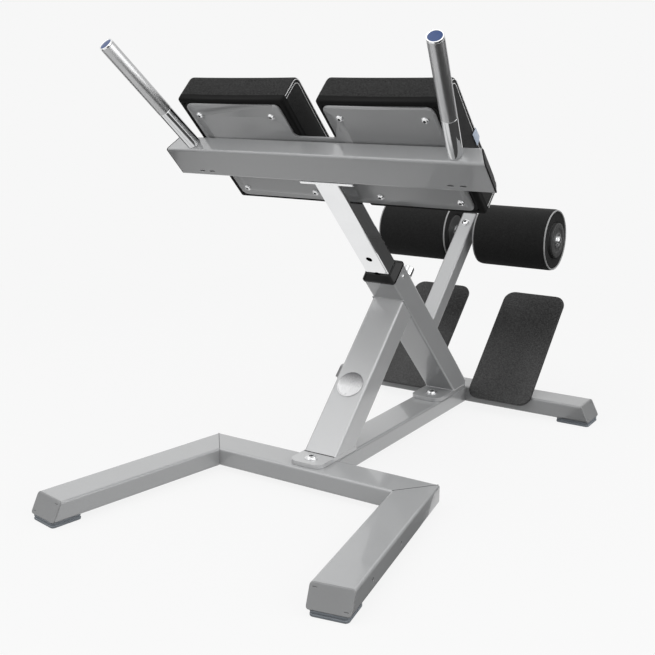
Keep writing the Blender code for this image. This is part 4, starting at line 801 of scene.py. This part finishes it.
def buildRowTree():
    # Small rounded grains in a row along a path, each turned along it.
    tree, given, result = newTree("GeometryNodeTree", "grainRow", [
        ("Geometry", "Geometry"), ("Pitch", "Float"), ("Grain Length", "Float"), ("Grain Width", "Float"),
        ("Material", "Material")], [("Geometry", "Geometry")])
    path = addNode(tree, "GeometryNodeMeshToCurve", {"Mesh": given["Geometry"]}).outputs[0]
    spaced = addNode(tree, "GeometryNodeResampleCurve", mode="LENGTH")
    feed(tree, spaced, {"Curve": path, "Length": given["Pitch"]})
    width = given["Grain Width"]
    grain = moved(tree, ball(tree, 7, 5, 0.5), size=(width, width, given["Grain Length"]))
    tangent = addNode(tree, "GeometryNodeInputTangent").outputs[0]
    finishRepeats(tree, spaced.outputs[0], grain, tangent, given["Material"], result)
    return tree


screwTree = buildScrewTree()
rowTree = buildRowTree()


def grown(name, mesh, tree, values):
    # Runs a tree on a guide mesh and keeps only the plain mesh that it makes.
    piece = addObject(name, mesh)
    modifier = piece.modifiers.new("grow", "NODES")
    modifier.node_group = tree
    for socket in tree.interface.items_tree:
        if socket.in_out == "INPUT" and socket.name in values:
            modifier[socket.identifier] = values[socket.name]
    shade(applyModifiers(piece), 35)
    return piece


def addRow(name, paths, grain, material, body):
    # Stitches or scales along paths, each path given with whether it is closed.
    points, edges = [], []
    for path, closed in paths:
        start = len(points)
        points += path
        edges += [(start + index, start + index + 1) for index in range(len(path) - 1)]
        if closed:
            edges.append((start + len(path) - 1, start))
    guide = pointMesh(name, points, edges)
    settle(grown(name, guide, rowTree, {**grain, "Material": material}), body)


# The pad plate, a little smaller than the pads all round

plateLook = {
    "outerEase": 0.0060,
    "lowEase": 0.0028,
    "outerFrom": 0.276,
    "lowBelow": 0.696,
}


def buildPadPlate():
    look = plateLook
    bm = bmesh.new()
    bm.from_mesh(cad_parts["pad_plate"].data)
    bmesh.ops.remove_doubles(bm, verts=bm.verts, dist=0.00002)
    bm.transform(columnPlace.inverted())
    for vertex in bm.verts:
        if abs(vertex.co.x) > look["outerFrom"]:
            vertex.co.x -= look["outerEase"] * (1 if vertex.co.x > 0 else -1)
        if vertex.co.z < look["lowBelow"]:
            vertex.co.z += look["lowEase"]
    bm.transform(columnPlace)
    settle(addPiece("padPlate", bm, platePaint, 30), "carriage", ["pad_plate"])


buildPadPlate()
print("pad plate is in place")


# Covers that are inflated by cloth simulation

coverLook = {
    "held": 0.85,                # how much of a move inwards the foam holds back
    "cloth": {
        "quality": 6, "mass": 0.4, "tension_stiffness": 25, "compression_stiffness": 25, "shear_stiffness": 12,
        "bending_stiffness": 1.5},
}


def limitedMove(start, end, outward, cap):
    move = end - start
    move -= outward * (min(move.dot(outward), 0) * coverLook["held"])
    length = move.length
    if length < 1e-9:
        return start
    return start + move * (cap * tanh(length / cap) / length)


def inflate(piece, weights, look):
    # Blows the cover out against its seams, then keeps each point within the cap.
    group = piece.vertex_groups.new(name="held")
    for index, weight in enumerate(weights):
        if weight > 0:
            group.add([index], weight, "REPLACE")
    start = [vertex.co.copy() for vertex in piece.data.vertices]
    outward = [vertex.normal.copy() for vertex in piece.data.vertices]
    cloth = piece.modifiers.new("cloth", "CLOTH")
    settings = cloth.settings
    for label, value in coverLook["cloth"].items():
        setattr(settings, label, value)
    settings.vertex_group_mass = "held"
    settings.use_pressure = True
    settings.uniform_pressure_force = look["pressure"]
    settings.effector_weights.gravity = 0
    cloth.collision_settings.use_collision = False
    cloth.point_cache.frame_start = 1
    cloth.point_cache.frame_end = look["frames"]
    scene = bpy.context.scene
    for step in range(1, look["frames"] + 1):
        scene.frame_set(step)
    mesh = applyModifiers(piece)
    scene.frame_set(1)
    furthest = 0
    for vertex, before, normal in zip(mesh.vertices, start, outward):
        furthest = max(furthest, (vertex.co - before).length)
        vertex.co = limitedMove(before, vertex.co, normal, look["cap"])
    print(f"{piece.name}: cover moved up to {furthest * 1000:.1f} mm before its cap")


def smoothed(pad):
    smooth = pad.modifiers.new("smooth", "SUBSURF")
    smooth.levels = smooth.render_levels = 1
    applyModifiers(pad)


# Thigh pads: a foam cushion under a taut cover

padLook = {
    "pitch": 0.006,
    "thickness": 0.0730,
    "topRound": 0.017,
    "bottomRound": 0.014,
    "backRound": 0.004,
    "edgeRound": 0.005,
    "sideStart": 0.0062,         # how far the side, top and bottom faces start inside the finished pad
    "frontStart": 0.0010,
    "holdReach": 0.016,          # the foam keeps the edges up to this far from them
    "holdStrength": 0.85,
    "cornerStrength": 0.5,
    "seamStrength": 0.9,
    "pressure": 4.0,
    "frames": 20,
    "cap": 0.0055,
    "endRings": (0.0055, 0.0065, 0.0076, 0.0115, 0.0155, 0.0205, 0.0270),    # insets on the end faces
    "mergeWithin": 0.00005,
    "seamInset": 0.0060,
    "seamDepth": 0.0010,
    "seamWidth": 0.0012,
    "seamReach": 0.0002,
    "bandDepth": 0.015,
    "boardGap": 0.0003,
    "stitch": {"Pitch": 0.0043, "Grain Length": 0.0040, "Grain Width": 0.0019},
    "stitchLift": 0.0003,
    "stitchStart": 0.001,        # in front of the band
    "rowInsets": (0.0031, 0.0090),
}


def arcPoints(centre, radius, start, steps):
    angles = [start + pi / 2 * step / steps for step in range(steps + 1)]
    return [(centre[0] + radius * cos(angle), centre[1] + radius * sin(angle)) for angle in angles]


def between(start, end, pitch):
    # Evenly spaced points strictly between two others.
    first, last = Vector(start), Vector(end)
    count = max(1, round((last - first).length / pitch))
    return [tuple(first.lerp(last, step / count)) for step in range(1, count)]


def padOutline(back, front, bottom, top):
    # The pad seen from its side, as (distance from the plate, height), with a point on its middle line for each.
    look = padLook
    half = (front - back) / 2
    lowEnd, highEnd = bottom + half, top - half
    count = round((highEnd - lowEnd) / look["pitch"])
    climbs = [lowEnd + (highEnd - lowEnd) * step / count for step in range(count + 1)]
    corners = (
        (back, bottom, look["backRound"], 1, 1), (front, bottom, look["bottomRound"], -1, 1),
        (front, top, look["topRound"], -1, -1), (back, top, look["backRound"], 1, -1))
    arcs = []
    for index, (a, b, radius, inA, inB) in enumerate(corners):
        steps = max(2, round(radius * pi / 2 / (look["pitch"] * 0.7)))
        arcs.append(arcPoints((a + inA * radius, b + inB * radius), radius, pi + index * pi / 2, steps))
    rise = [(front, height) for height in climbs]
    fall = [(back, height) for height in reversed(climbs)]
    parts = [arcs[0], arcs[1], rise, arcs[2], arcs[3], fall]
    points = []
    for part, after in zip(parts, parts[1:] + parts[:1]):
        points += part + between(part[-1], after[0], look["pitch"])
    targets = [((front + back) / 2, min(max(height, lowEnd), highEnd)) for depth, height in points]
    return points, targets, half


def buildPadShell(low, high):
    # Rings round the side outline, stacked across the pad; each end face closes on its middle line.
    look = padLook
    points, targets, reach = padOutline(low.y, low.y + look["thickness"], low.z, high.z)
    middleX = (low.x + high.x) / 2
    halfX = (high.x - low.x) / 2
    radius = look["edgeRound"]
    flat = sorted((*look["endRings"], look["seamInset"], look["rowInsets"][1], reach))
    cap = [(halfX - radius + radius * sin(angle), radius * (1 - cos(angle)))
           for angle in (pi / 8, pi / 4, 3 * pi / 8, pi / 2)]
    cap += [(halfX, inset) for inset in flat]
    count = round(2 * (halfX - radius) / look["pitch"])
    body = [((halfX - radius) * (2 * step / count - 1), 0.0) for step in range(count + 1)]
    stations = [(-x, inset) for x, inset in reversed(cap)] + body + cap
    bm = bmesh.new()
    rings = []
    insets = []
    for x, inset in stations:
        share = inset / reach
        rings.append([bm.verts.new((middleX + x, a + (c - a) * share, b + (d - b) * share))
                      for (a, b), (c, d) in zip(points, targets)])
        insets += [inset] * len(points)
    bridge(bm, rings)
    layer = bm.verts.layers.float.new("inset")
    for vertex, inset in zip(bm.verts, insets):
        vertex[layer] = inset
    bmesh.ops.remove_doubles(bm, verts=bm.verts, dist=look["mergeWithin"])
    return turnedOut(bm)


def drawStart(mesh, low, high, look):
    # The faces start a little inside the pad between its edges, so that the pressure fills them out.
    middle = (low + high) / 2
    for vertex in mesh.vertices:
        across = (vertex.co.x - middle.x) / (high.x - middle.x)
        up = (vertex.co.z - middle.z) / (high.z - middle.z)
        depth = min(max((vertex.co.y - low.y) / look["thickness"], 0), 1)
        waist = 1 - (2 * depth - 1) ** 2
        vertex.co.x -= look["sideStart"] * across ** 5 * (1 - up ** 2) * waist
        vertex.co.z -= look["sideStart"] * up ** 9 * (1 - across ** 2) * waist
        vertex.co.y -= look["frontStart"] * (1 - across ** 4) * max(1 - up ** 4, 0) * depth ** 4


def holdWeights(mesh, insets, low, high, look):
    # 1 on the board, strong along the seams of the sides, weaker on the two long front corners.
    front = low.y + look["thickness"]
    weights = []
    for vertex, inset in zip(mesh.vertices, insets):
        point = vertex.co
        if point.y < low.y + look["bandDepth"]:
            weights.append(1)
            continue
        fromSide = inset if inset > 0 else min(high.x - point.x, point.x - low.x)
        held = look["holdStrength"] * max(0, 1 - fromSide / look["holdReach"])
        for height, radius in ((high.z, look["topRound"]), (low.z, look["bottomRound"])):
            if inset == 0 and max(front - point.y, abs(height - point.z)) < radius:
                held = max(held, look["cornerStrength"])
        if abs(inset - look["seamInset"]) < look["seamReach"]:
            held = look["seamStrength"]
        weights.append(held)
    return weights


def seamRow(mesh, insets, middle, inset, end, lowest):
    # Points on the cover at one distance in from the side's edge, in order round the side.
    nearest = min(set(round(value, 6) for value in insets), key=lambda value: abs(value - inset))
    found = []
    for vertex, value in zip(mesh.vertices, insets):
        onSide = (vertex.co.x - middle.x) * end > 0
        if onSide and abs(value - nearest) < 1e-5 and vertex.co.y > lowest:
            found.append(vertex.co + vertex.normal * padLook["stitchLift"])
    found.sort(key=lambda point: atan2(point.z - middle.z, point.y - middle.y + 0.02))
    return found


def cutPocket(pad, look):
    # The board is let into the back of the cushion.
    low, high = localBox("right_pad_board", columnPlace)
    gap = Vector(evenly(look["boardGap"]))
    low, high = low - gap - Vector((0, high.y - low.y, 0)), high + gap
    bm = bmesh.new()
    bmesh.ops.create_cube(bm, size=1, matrix=placed((low + high) / 2) @ Matrix.Diagonal((*(high - low), 1)))
    cutter = addPiece("pocket", bm, padCloth)
    boolean = pad.modifiers.new("pocket", "BOOLEAN")
    boolean.operation = "DIFFERENCE"
    boolean.solver = "EXACT"
    boolean.object = cutter
    applyModifiers(pad)
    bpy.data.objects.remove(cutter)


def buildThighPad(side, label):
    look = padLook
    low, high = localBox("right_thigh_pad", columnPlace)
    pad = addPiece(f"{label}ThighPad", buildPadShell(low, high), padCloth, 60)
    mesh = pad.data
    insets = [0.0] * len(mesh.vertices)
    mesh.attributes["inset"].data.foreach_get("value", insets)
    bandEnd = low.y + look["bandDepth"]
    weights = holdWeights(mesh, insets, low, high, look)
    drawStart(mesh, low, high, look)
    inflate(pad, weights, look)
    mesh = pad.data
    outward = [vertex.normal.copy() for vertex in mesh.vertices]
    for vertex, inset, normal in zip(mesh.vertices, insets, outward):
        near = max(0, 1 - abs(inset - look["seamInset"]) / look["seamWidth"])
        if vertex.co.y > bandEnd:
            vertex.co -= normal * look["seamDepth"] * near
    rows = [seamRow(mesh, insets, (low + high) / 2, inset, end, bandEnd + look["stitchStart"])
            for inset in look["rowInsets"] for end in (-1, 1)]
    smoothed(pad)
    cutPocket(pad, look)
    turn = columnPlace if side > 0 else columnPlace @ Matrix.Scale(-1, 4, (1, 0, 0))
    pad.data.transform(turn)
    if side < 0:
        pad.data.flip_normals()
    shade(pad.data, 60)
    settle(pad, "carriage", [f"{label}_thigh_pad"])
    paths = [([turn @ point for point in row], False) for row in rows]
    addRow(f"{label}PadStitches", paths, look["stitch"], threadCloth, "carriage")
    print(f"{label} thigh pad:", len(pad.data.polygons), "faces")


for side, label in sides:
    buildThighPad(side, label)


# Handles: a polished foot, a knurled grip and a chrome ring round a plain disc

handleLook = {
    "radius": 0.015,
    "bore": 0.0125,
    "gripStart": 0.098,
    "step": 0.0003,
    "stepEnds": (0.0008, 0.0012),
    "footEnd": 0.004,
    "footGap": 0.0002,
    "diamond": 0.0022,
    "capHeight": 0.004,
    "ringWidth": 0.0022,
    "ringLip": (0.0004, 0.0012),
    "discDepth": 0.001,
    "discDrops": (0.0010, 0.0006, 0.0004),    # below the ring: the disc's edge, its shoulder and its middle
    "discShoulder": 0.6,
    "rounding": {"Foot": 0.0002, "Grip": 0.0005, "Ring": 0.0006, "Disc": 0.0003},
    "ease": 0.0001,
    "steps": 72,
}


def angleRound(point):
    return Vector((point.x, point.y)).angle_signed(Vector((1, 0)), 0)


def addGripMap(piece, place, look):
    # U counts diamonds round the grip and V counts them along it.
    mesh = piece.data
    layer = mesh.uv_layers.new(name="grip")
    toLocal = place.inverted()
    around = round(2 * pi * look["radius"] / look["diamond"])
    for polygon in mesh.polygons:
        middle = angleRound(toLocal @ polygon.center)
        for loop in polygon.loop_indices:
            point = toLocal @ mesh.vertices[mesh.loops[loop].vertex_index].co
            angle = middle + (angleRound(point) - middle + pi) % (2 * pi) - pi
            layer.data[loop].uv = (angle / (2 * pi) * around, point.z / look["diamond"])


def closeHandleFoot(bm, side, place):
    # The last ring is drawn down to the beam's top face.
    toLocal = place.inverted()
    lowest = min((toLocal @ vertex.co).z for vertex in bm.verts)
    slope = side * tan(radians(places["handleSplay"]))
    for vertex in bm.verts:
        point = toLocal @ vertex.co
        if point.z < lowest + handleLook["ease"]:
            vertex.co = place @ Vector((point.x, point.y, point.x * slope + handleLook["footGap"]))


def buildHandle(side, label):
    look = handleLook
    place = handlePlace(side)
    low, high = localBox(f"{label}_handle", place)
    capLow, capHigh = localBox(f"{label}_handle_cap", place)
    radius, bore, start, ease = look["radius"], look["bore"], look["gripStart"], look["ease"]

    def turned(name, profile, material):
        bm = spinProfile(roundedProfile(profile, look["rounding"][name]), place, look["steps"])
        if name == "Foot":
            closeHandleFoot(bm, side, place)
        return addPiece(f"{label}Handle{name}", bm, material)

    stepped, (shoulder, lowEdge) = radius - look["step"], look["stepEnds"]
    polished = turned("Foot", [
        (bore, start), (stepped, start), (stepped, start - shoulder), (radius, start - lowEdge),
        (radius, low.z + look["footEnd"])], handleSteel)
    settle(polished, "carriage", [f"{label}_handle"])
    knurled = turned("Grip", [
        (bore, start + ease), (radius, start + ease), (radius, high.z - ease), (bore, high.z - ease)], gripSteel)
    addGripMap(knurled, place, look)
    settle(knurled, "carriage")
    inner, under, top = radius - look["ringWidth"], capHigh.z - look["capHeight"], capHigh.z
    lipIn, lipDown = look["ringLip"]
    rim = turned("Ring", [
        (inner, under), (radius, under), (radius, top), (inner, top), (inner - lipIn, top - lipDown)], chromeSteel)
    settle(rim, "carriage")
    face, back = inner - ease, capLow.z + look["discDepth"]
    shares = zip((1, look["discShoulder"], 0), look["discDrops"])
    plug = turned("Disc", [(0, back), (face, back), *((face * share, top - drop) for share, drop in shares)],
                  discPlastic)
    settle(plug, "carriage", [f"{label}_handle_cap"])


for side, label in sides:
    buildHandle(side, label)
print("handles are in place")


# Roller pads: foam rings under a cover with piping at both ends

rollerLook = {
    "steps": 96,
    "pitch": 0.006,
    "edge": 0.0045,
    "endGap": 0.0012,            # between the cover's end faces and the solid's
    "pipingOut": 0.0012,         # the piping stands this far out of the end face
    "pipingRadius": 0.0019,
    "pipingSteps": 10,
    "faceSteps": 5,
    "boreGap": 0.0006,
    "boreDepth": 0.006,
    "hubDepth": 0.0008,
    "startShrink": 0.0012,
    "shrinkReach": 0.01,
    "holdReach": 0.001,
    "pressure": 4.0,
    "frames": 14,
    "cap": 0.0022,
    "hubRadius": 0.0435,
    "rimStrength": 0.95,
}


def buildRollerPad(side, label):
    look = rollerLook
    place = alongX(side, axlePlace)
    low, high = localBox(f"{label}_roller_pad", place)
    radius, inner, edge = high.x, look["hubRadius"], look["edge"]
    bore, rim, near = inner - look["boreGap"], radius - edge, look["holdReach"]
    start, end = low.z + look["endGap"], high.z - look["endGap"]
    # Each end as (radius, distance in from its face), from the bore out to the rounded edge.
    face = [(bore, look["boreDepth"]), (inner, look["hubDepth"])]
    face += [(inner + (rim - inner) * step / look["faceSteps"], 0) for step in range(1, look["faceSteps"])]
    face += [(rim + edge * sin(angle), edge * (1 - cos(angle))) for angle in (0, pi / 6, pi / 3, pi / 2)]
    first, last = start + edge, end - edge
    count = round((last - first) / look["pitch"])
    shell = [(reach, start + inset) for reach, inset in face]
    shell += [(radius, first + (last - first) * step / count) for step in range(1, count)]
    shell += [(reach, end - inset) for reach, inset in reversed(face)]
    bm = spinProfile(shell, place, look["steps"], closed=True)
    pad = addPiece(f"{label}RollerPad", bm, rollerCloth, 60)
    toLocal = place.inverted()
    weights = []
    for vertex in pad.data.vertices:
        point = toLocal @ vertex.co
        reach = (point.x ** 2 + point.y ** 2) ** 0.5
        weights.append(1 if reach < inner + near else look["rimStrength"] if abs(reach - rim) < near else 0)
        shrink = look["startShrink"] * min(max((reach - inner) / look["shrinkReach"], 0), 1)
        if reach > rim + near:
            vertex.co = place @ Vector((point.x * (1 - shrink / reach), point.y * (1 - shrink / reach), point.z))
    inflate(pad, weights, look)
    smoothed(pad)
    shade(pad.data, 60)
    settle(pad, f"{label}_roller", [f"{label}_roller_pad"])
    bm = bmesh.new()
    thick = look["pipingRadius"]
    angles = [2 * pi * step / look["pipingSteps"] for step in range(look["pipingSteps"])]
    for height in (start - look["pipingOut"], end + look["pipingOut"]):
        circle = [(rim + thick * cos(angle), height + thick * sin(angle)) for angle in angles]
        spinProfile(circle, place, look["steps"], closed=True, bm=bm)
    settle(addPiece(f"{label}RollerPiping", bm, pipingCloth, 60), f"{label}_roller")
    print(f"{label} roller pad:", len(pad.data.polygons), "faces")


for side, label in sides:
    buildRollerPad(side, label)


# Screws and bolts

screwLook = {
    # each kind's sizes, in the order of screwInputs
    "pad": (0.007, 0.0042, 0.0037, 0.0076, 0.0006),
    "base": (0.0105, 0.0048, 0.0058, 0.0142, 0.0016),
    "axle": (0.009, 0.0056, 0.0042, 0.0098, 0.0008),
    "axleEnd": (0.010, 0.0062, 0.0046, 0.0184, 0.0080),
    "collar": (0.0045, 0.003, 0.002, 0.0046, 0.0004),
    "padPlaces": [(x, z) for x in (0.080, 0.262) for z in (0.708, 0.935)],
    "padSeat": 0.0200,
    "baseSeats": ((0, -0.21913, 0.0616), (0, 0.33187, 0.0616)),
    "collarSeat": (0.0402, 0.006, 0.445),
    "axleHalf": 0.2328,
    "armHalf": 0.0203,
}


def addScrews(name, kind, seats, body, replaced=()):
    # Each seat is a point and the way that the head faces.
    guide = pointMesh(name, [point for point, facing in seats])
    attribute = guide.attributes.new("facing", "FLOAT_VECTOR", "POINT")
    for index, (point, facing) in enumerate(seats):
        attribute.data[index].vector = facing
    values = {**dict(zip(screwInputs, screwLook[kind])), "Socket Material": seamShade, "Material": zincSteel}
    screws = grown(name, guide, screwTree, values)
    screws.data.attributes.remove(screws.data.attributes["bright"])
    settle(screws, body, replaced)


def facingOf(place, direction):
    return (place.to_3x3() @ Vector(direction)).normalized()


def buildScrews():
    look = screwLook
    ahead = facingOf(columnPlace, (0, -1, 0))
    seats = [(columnPlace @ Vector((side * x, look["padSeat"], z)), ahead)
             for side, label in sides for x, z in look["padPlaces"]]
    names = [f"{label}_pad_screw_{number}" for side, label in sides for number in range(1, 5)]
    addScrews("padScrews", "pad", seats, "carriage", names)
    seats = [(Vector(seat), Vector((0, 0, 1))) for seat in look["baseSeats"]]
    addScrews("baseBolts", "base", seats, "frame", ["front_base_bolt", "rear_base_bolt"])
    seat = armPlace @ Vector((0, places["axle"][1], look["armHalf"]))
    addScrews("axleBolt", "axle", [(seat, facingOf(armPlace, (0, 0, 1)))], "frame", ["axle_bolt"])
    for name, kind, place, (x, y, z), replaced in (
            ("axleEndBolts", "axleEnd", axlePlace, (look["axleHalf"], 0, 0), leftAndRight("axle_end_bolt")),
            ("collarScrews", "collar", columnPlace, look["collarSeat"], ())):
        seats = [(place @ Vector((side * x, y, z)), Vector((side, 0, 0))) for side, label in sides]
        addScrews(name, kind, seats, "frame", replaced)


buildScrews()
print("screws and bolts are in place")


# Feet, mats on the foot plates, raised hub discs, the pad's tag, and seams and weld beads

def roundedOutline(low, high, corner, inset, steps=6):
    # Points round a rectangle with rounded corners, drawn in by an inset.
    radius = max(corner - inset, 0.0004)
    points = []
    for index, (right, upper) in enumerate(((0, 0), (1, 0), (1, 1), (0, 1))):
        centreX = high[0] - inset - radius if right else low[0] + (inset + radius)
        centreY = high[1] - inset - radius if upper else low[1] + (inset + radius)
        points += arcPoints((centreX, centreY), radius, pi + index * pi / 2, steps)
    return points


def stackedSlab(low, high, corner, stations, toWorld):
    # A slab built of the same outline at several heights, with its inset at each.
    bm = bmesh.new()
    rings = []
    for inset, height in stations:
        outline = roundedOutline(low, high, corner, inset)
        rings.append([bm.verts.new(toWorld @ Vector((x, y, height))) for x, y in outline])
    bridge(bm, rings)
    bm.faces.new(rings[0])
    bm.faces.new(rings[-1])
    return turnedOut(bm)


footLook = {
    "corner": 0.0075,
    "rearReach": 0.016,          # the rear feet run further in than their solids
    "stations": ((0.0010, 0.0), (0.0002, 0.0008), (0.0, 0.0040), (0.0012, 0.0050), (0.0024, 0.0054),
                 (0.0026, 0.0066), (0.0016, 0.0070), (0.0004, 0.0078), (0.0004, 0.0104), (0.0014, 0.0116)),
}


def buildFeet():
    look = footLook
    for side, label in sides:
        for end in ("front", "rear"):
            place = legPlace(side) if end == "front" else Matrix()
            name = f"{label}_{end}_foot"
            low, high = localBox(name, place)
            if end == "rear" and side > 0:
                low.x -= look["rearReach"]
            elif end == "rear":
                high.x += look["rearReach"]
            bm = stackedSlab(low, high, look["corner"], look["stations"], place)
            settle(addPiece(f"{label}{end.title()}Foot", bm, footRubber, 30), "frame", [name])


matLook = {
    "inset": 0.0006,
    "corner": 0.028,
    "stations": ((0.0, 0.0001), (0.0, 0.0010), (0.0006, 0.0016), (0.0016, 0.0018)),
}


def buildMats():
    # The foot plate's own Y points to its rear, so the mat grows the other way.
    look = matLook
    toFront = footPlatePlace @ Matrix(((1, 0, 0, 0), (0, 0, -1, 0), (0, 1, 0, 0), (0, 0, 0, 1)))
    for side, label in sides:
        low, high = localBox(f"{label}_foot_plate", footPlatePlace)
        inset = look["inset"]
        corners = (low.x + inset, low.z + inset), (high.x - inset, high.z - inset)
        bm = stackedSlab(*corners, look["corner"], look["stations"], toFront)
        settle(addPiece(f"{label}FootMat", bm, gripRubber, 30), "frame")


hubLook = {
    "reach": 0.0082,             # from the roller's end face to the disc's
    "under": -0.0004,
    "profile": ((0.0430, 1.0), (0.0300, 1.0), (0.0290, 0.84), (0.0186, 0.84)),
    "round": 0.0014,
    "steps": 72,
}


def buildHubDiscs():
    look = hubLook
    for side, label in sides:
        place = alongX(side, axlePlace)
        low, high = localBox(f"{label}_roller_hub", place)
        profile = [(radius, high.z + look["under"]) for radius in (look["profile"][-1][0], look["profile"][0][0])]
        profile += [(radius, high.z + share * look["reach"]) for radius, share in look["profile"]]
        bm = spinProfile(roundedProfile(profile, look["round"]), place, look["steps"], closed=True)
        settle(addPiece(f"{label}HubDisc", bm, hubPlastic, 30), f"{label}_roller")


tagLook = {
    "corners": ((0.0958, 0.8397), (0.0782, 0.8389), (0.0795, 0.8072), (0.0972, 0.8141)),
    "side": 0.3042,
    "bulge": 0.0016,
    "bulgeEnds": 0.6,            # how much of the bulge is left at the tag's upper and lower end
    "thickness": 0.0007,
    "cells": (8, 12),
    "rowSteps": 12,
    "rowPlace": 0.10,
    "rowBulge": 0.32,
    "stitch": {"Pitch": 0.0022, "Grain Length": 0.0017, "Grain Width": 0.0005},
}


def buildTag():
    # A bare folded label in the outer seam of the right pad.
    look = tagLook
    across, down = look["cells"]
    frontTop, backTop, backLow, frontLow = [Vector(corner) for corner in look["corners"]]
    bm = bmesh.new()
    layers = []
    for lift in (0, look["thickness"]):
        grid = []
        for row in range(down + 1):
            line = []
            for column in range(across + 1):
                s, t = column / across, row / down
                flat = frontTop.lerp(backTop, s).lerp(frontLow.lerp(backLow, s), t)
                fullness = look["bulgeEnds"] + (1 - look["bulgeEnds"]) * sin(pi * t)
                out = look["side"] + look["bulge"] * sin(pi * s) * fullness + lift
                line.append(bm.verts.new(columnPlace @ Vector((out, flat.x, flat.y))))
            grid.append(line)
        layers.append(grid)
    rims = []
    for grid in layers:
        for upper, lower in zip(grid, grid[1:]):
            for column in range(across):
                bm.faces.new((upper[column], upper[column + 1], lower[column + 1], lower[column]))
        rim = grid[0][:-1] + [line[-1] for line in grid[:-1]] + list(reversed(grid[-1][1:]))
        rims.append(rim + [line[0] for line in reversed(grid[1:])])
    bridge(bm, rims)
    settle(addPiece("rightPadTag", turnedOut(bm), tagCloth, 60), "carriage")
    row = []
    out = look["side"] + look["thickness"] + look["bulge"] * look["rowBulge"]
    for step in range(look["rowSteps"] + 1):
        share = step / look["rowSteps"]
        flat = frontTop.lerp(frontLow, share).lerp(backTop.lerp(backLow, share), look["rowPlace"])
        row.append(columnPlace @ Vector((out, flat.x, flat.y)))
    addRow("rightTagStitches", [(row, False)], look["stitch"], threadCloth, "carriage")


seamLook = {
    "mitre": {"Pitch": 0.0012, "Grain Length": 0.0026, "Grain Width": 0.0011},
    "foot": {"Pitch": 0.0016, "Grain Length": 0.0034, "Grain Width": 0.0024},
    "weld": {"Pitch": 0.0023, "Grain Length": 0.0040, "Grain Width": 0.0042},
    "pathPitch": 0.004,
    "tubeTop": 0.052,
    "tubeLow": 0.0125,
    "tubeWidth": 0.080,
    "mitreEase": 0.004,
    "mitreRound": 0.0012,
    "plateTop": 0.0613,
    "halfWidth": 0.040,
    "strutFoot": -0.18813,
    "columnFoot": (0.37787, 0.44487),
    "strutHead": (0.34025, 0.40026),    # on the column's front face
    "armHalf": 0.020,
    "roundOff": 0.005,
    "footOut": 0.0003,
    "footEase": 0.003,
    "out": {"column": 0.0002, "wall": 0.0001, "arm": 0.0004},
}


def dividedPath(points, closed=False):
    path = []
    for first, last in zip(points, points[1:] + (points[:1] if closed else [])):
        path += [Vector(first)] + [Vector(point) for point in between(first, last, seamLook["pathPitch"])]
    return path if closed else path + [Vector(points[-1])]


def cornerLoop(low, high, out):
    # A closed path round a welded tube's foot, just outside its walls.
    radius = seamLook["roundOff"] + out
    return roundedOutline((low[0] - out, low[1] - out), (high[0] + out, high[1] + out), radius, 0, 3)


def buildSeams():
    look = seamLook
    half, top, ease = look["halfWidth"], look["tubeTop"], look["mitreEase"]
    width, lean = look["tubeWidth"], radians(places["legSplay"])
    mitres = []
    for side, label in sides:
        # The mitre halves the angle between the crossbar and the leg.
        outer = Vector((side * places["legCornerX"], places["legCornerY"]))
        inner = outer + Vector((-side * width * (1 - sin(lean)) / cos(lean), -width))
        way = (inner - outer).normalized()
        mitres.append([(*(outer + way * ease), top), (*(inner - way * ease), top)])
        rim = inner - way * look["mitreRound"]
        mitres.append([(*rim, top - ease), (*rim, look["tubeLow"] + ease)])
    paths = [(dividedPath(path), False) for path in mitres]
    addRow("mitreSeams", paths, look["mitre"], seamShade, "frame")
    top, front, ease, out = look["plateTop"], look["strutFoot"] - look["footOut"], look["footEase"], look["out"]
    foot = [(-half + ease, front, top), (half - ease, front, top)]
    addRow("strutFootSeam", [(dividedPath(foot), False)], look["foot"], seamShade, "frame")
    columnLow, columnHigh = look["columnFoot"]
    toColumn = columnPlace.inverted()
    walls = cornerLoop((-half, columnLow), (half, columnHigh), out["column"])
    column = [toColumn @ Vector((x, y, top)) for x, y in walls]
    headLow, headHigh = look["strutHead"]
    wall = places["halfDepth"] + out["wall"]
    head = [(-half, -wall, headLow), (-half, -wall, headHigh), (half, -wall, headHigh), (half, -wall, headLow)]
    arm = look["armHalf"]
    roller = [(x, wall, z + places["armHeight"]) for x, z in cornerLoop((-arm, -arm), (arm, arm), out["arm"])]
    paths = [([columnPlace @ point for point in dividedPath(loop, True)], True) for loop in (column, head, roller)]
    addRow("weldBeads", paths, look["weld"], silverPaint, "frame")


buildFeet()
buildMats()
buildHubDiscs()
buildTag()
buildSeams()
print("feet, mats, hub discs, tag and seams are in place")
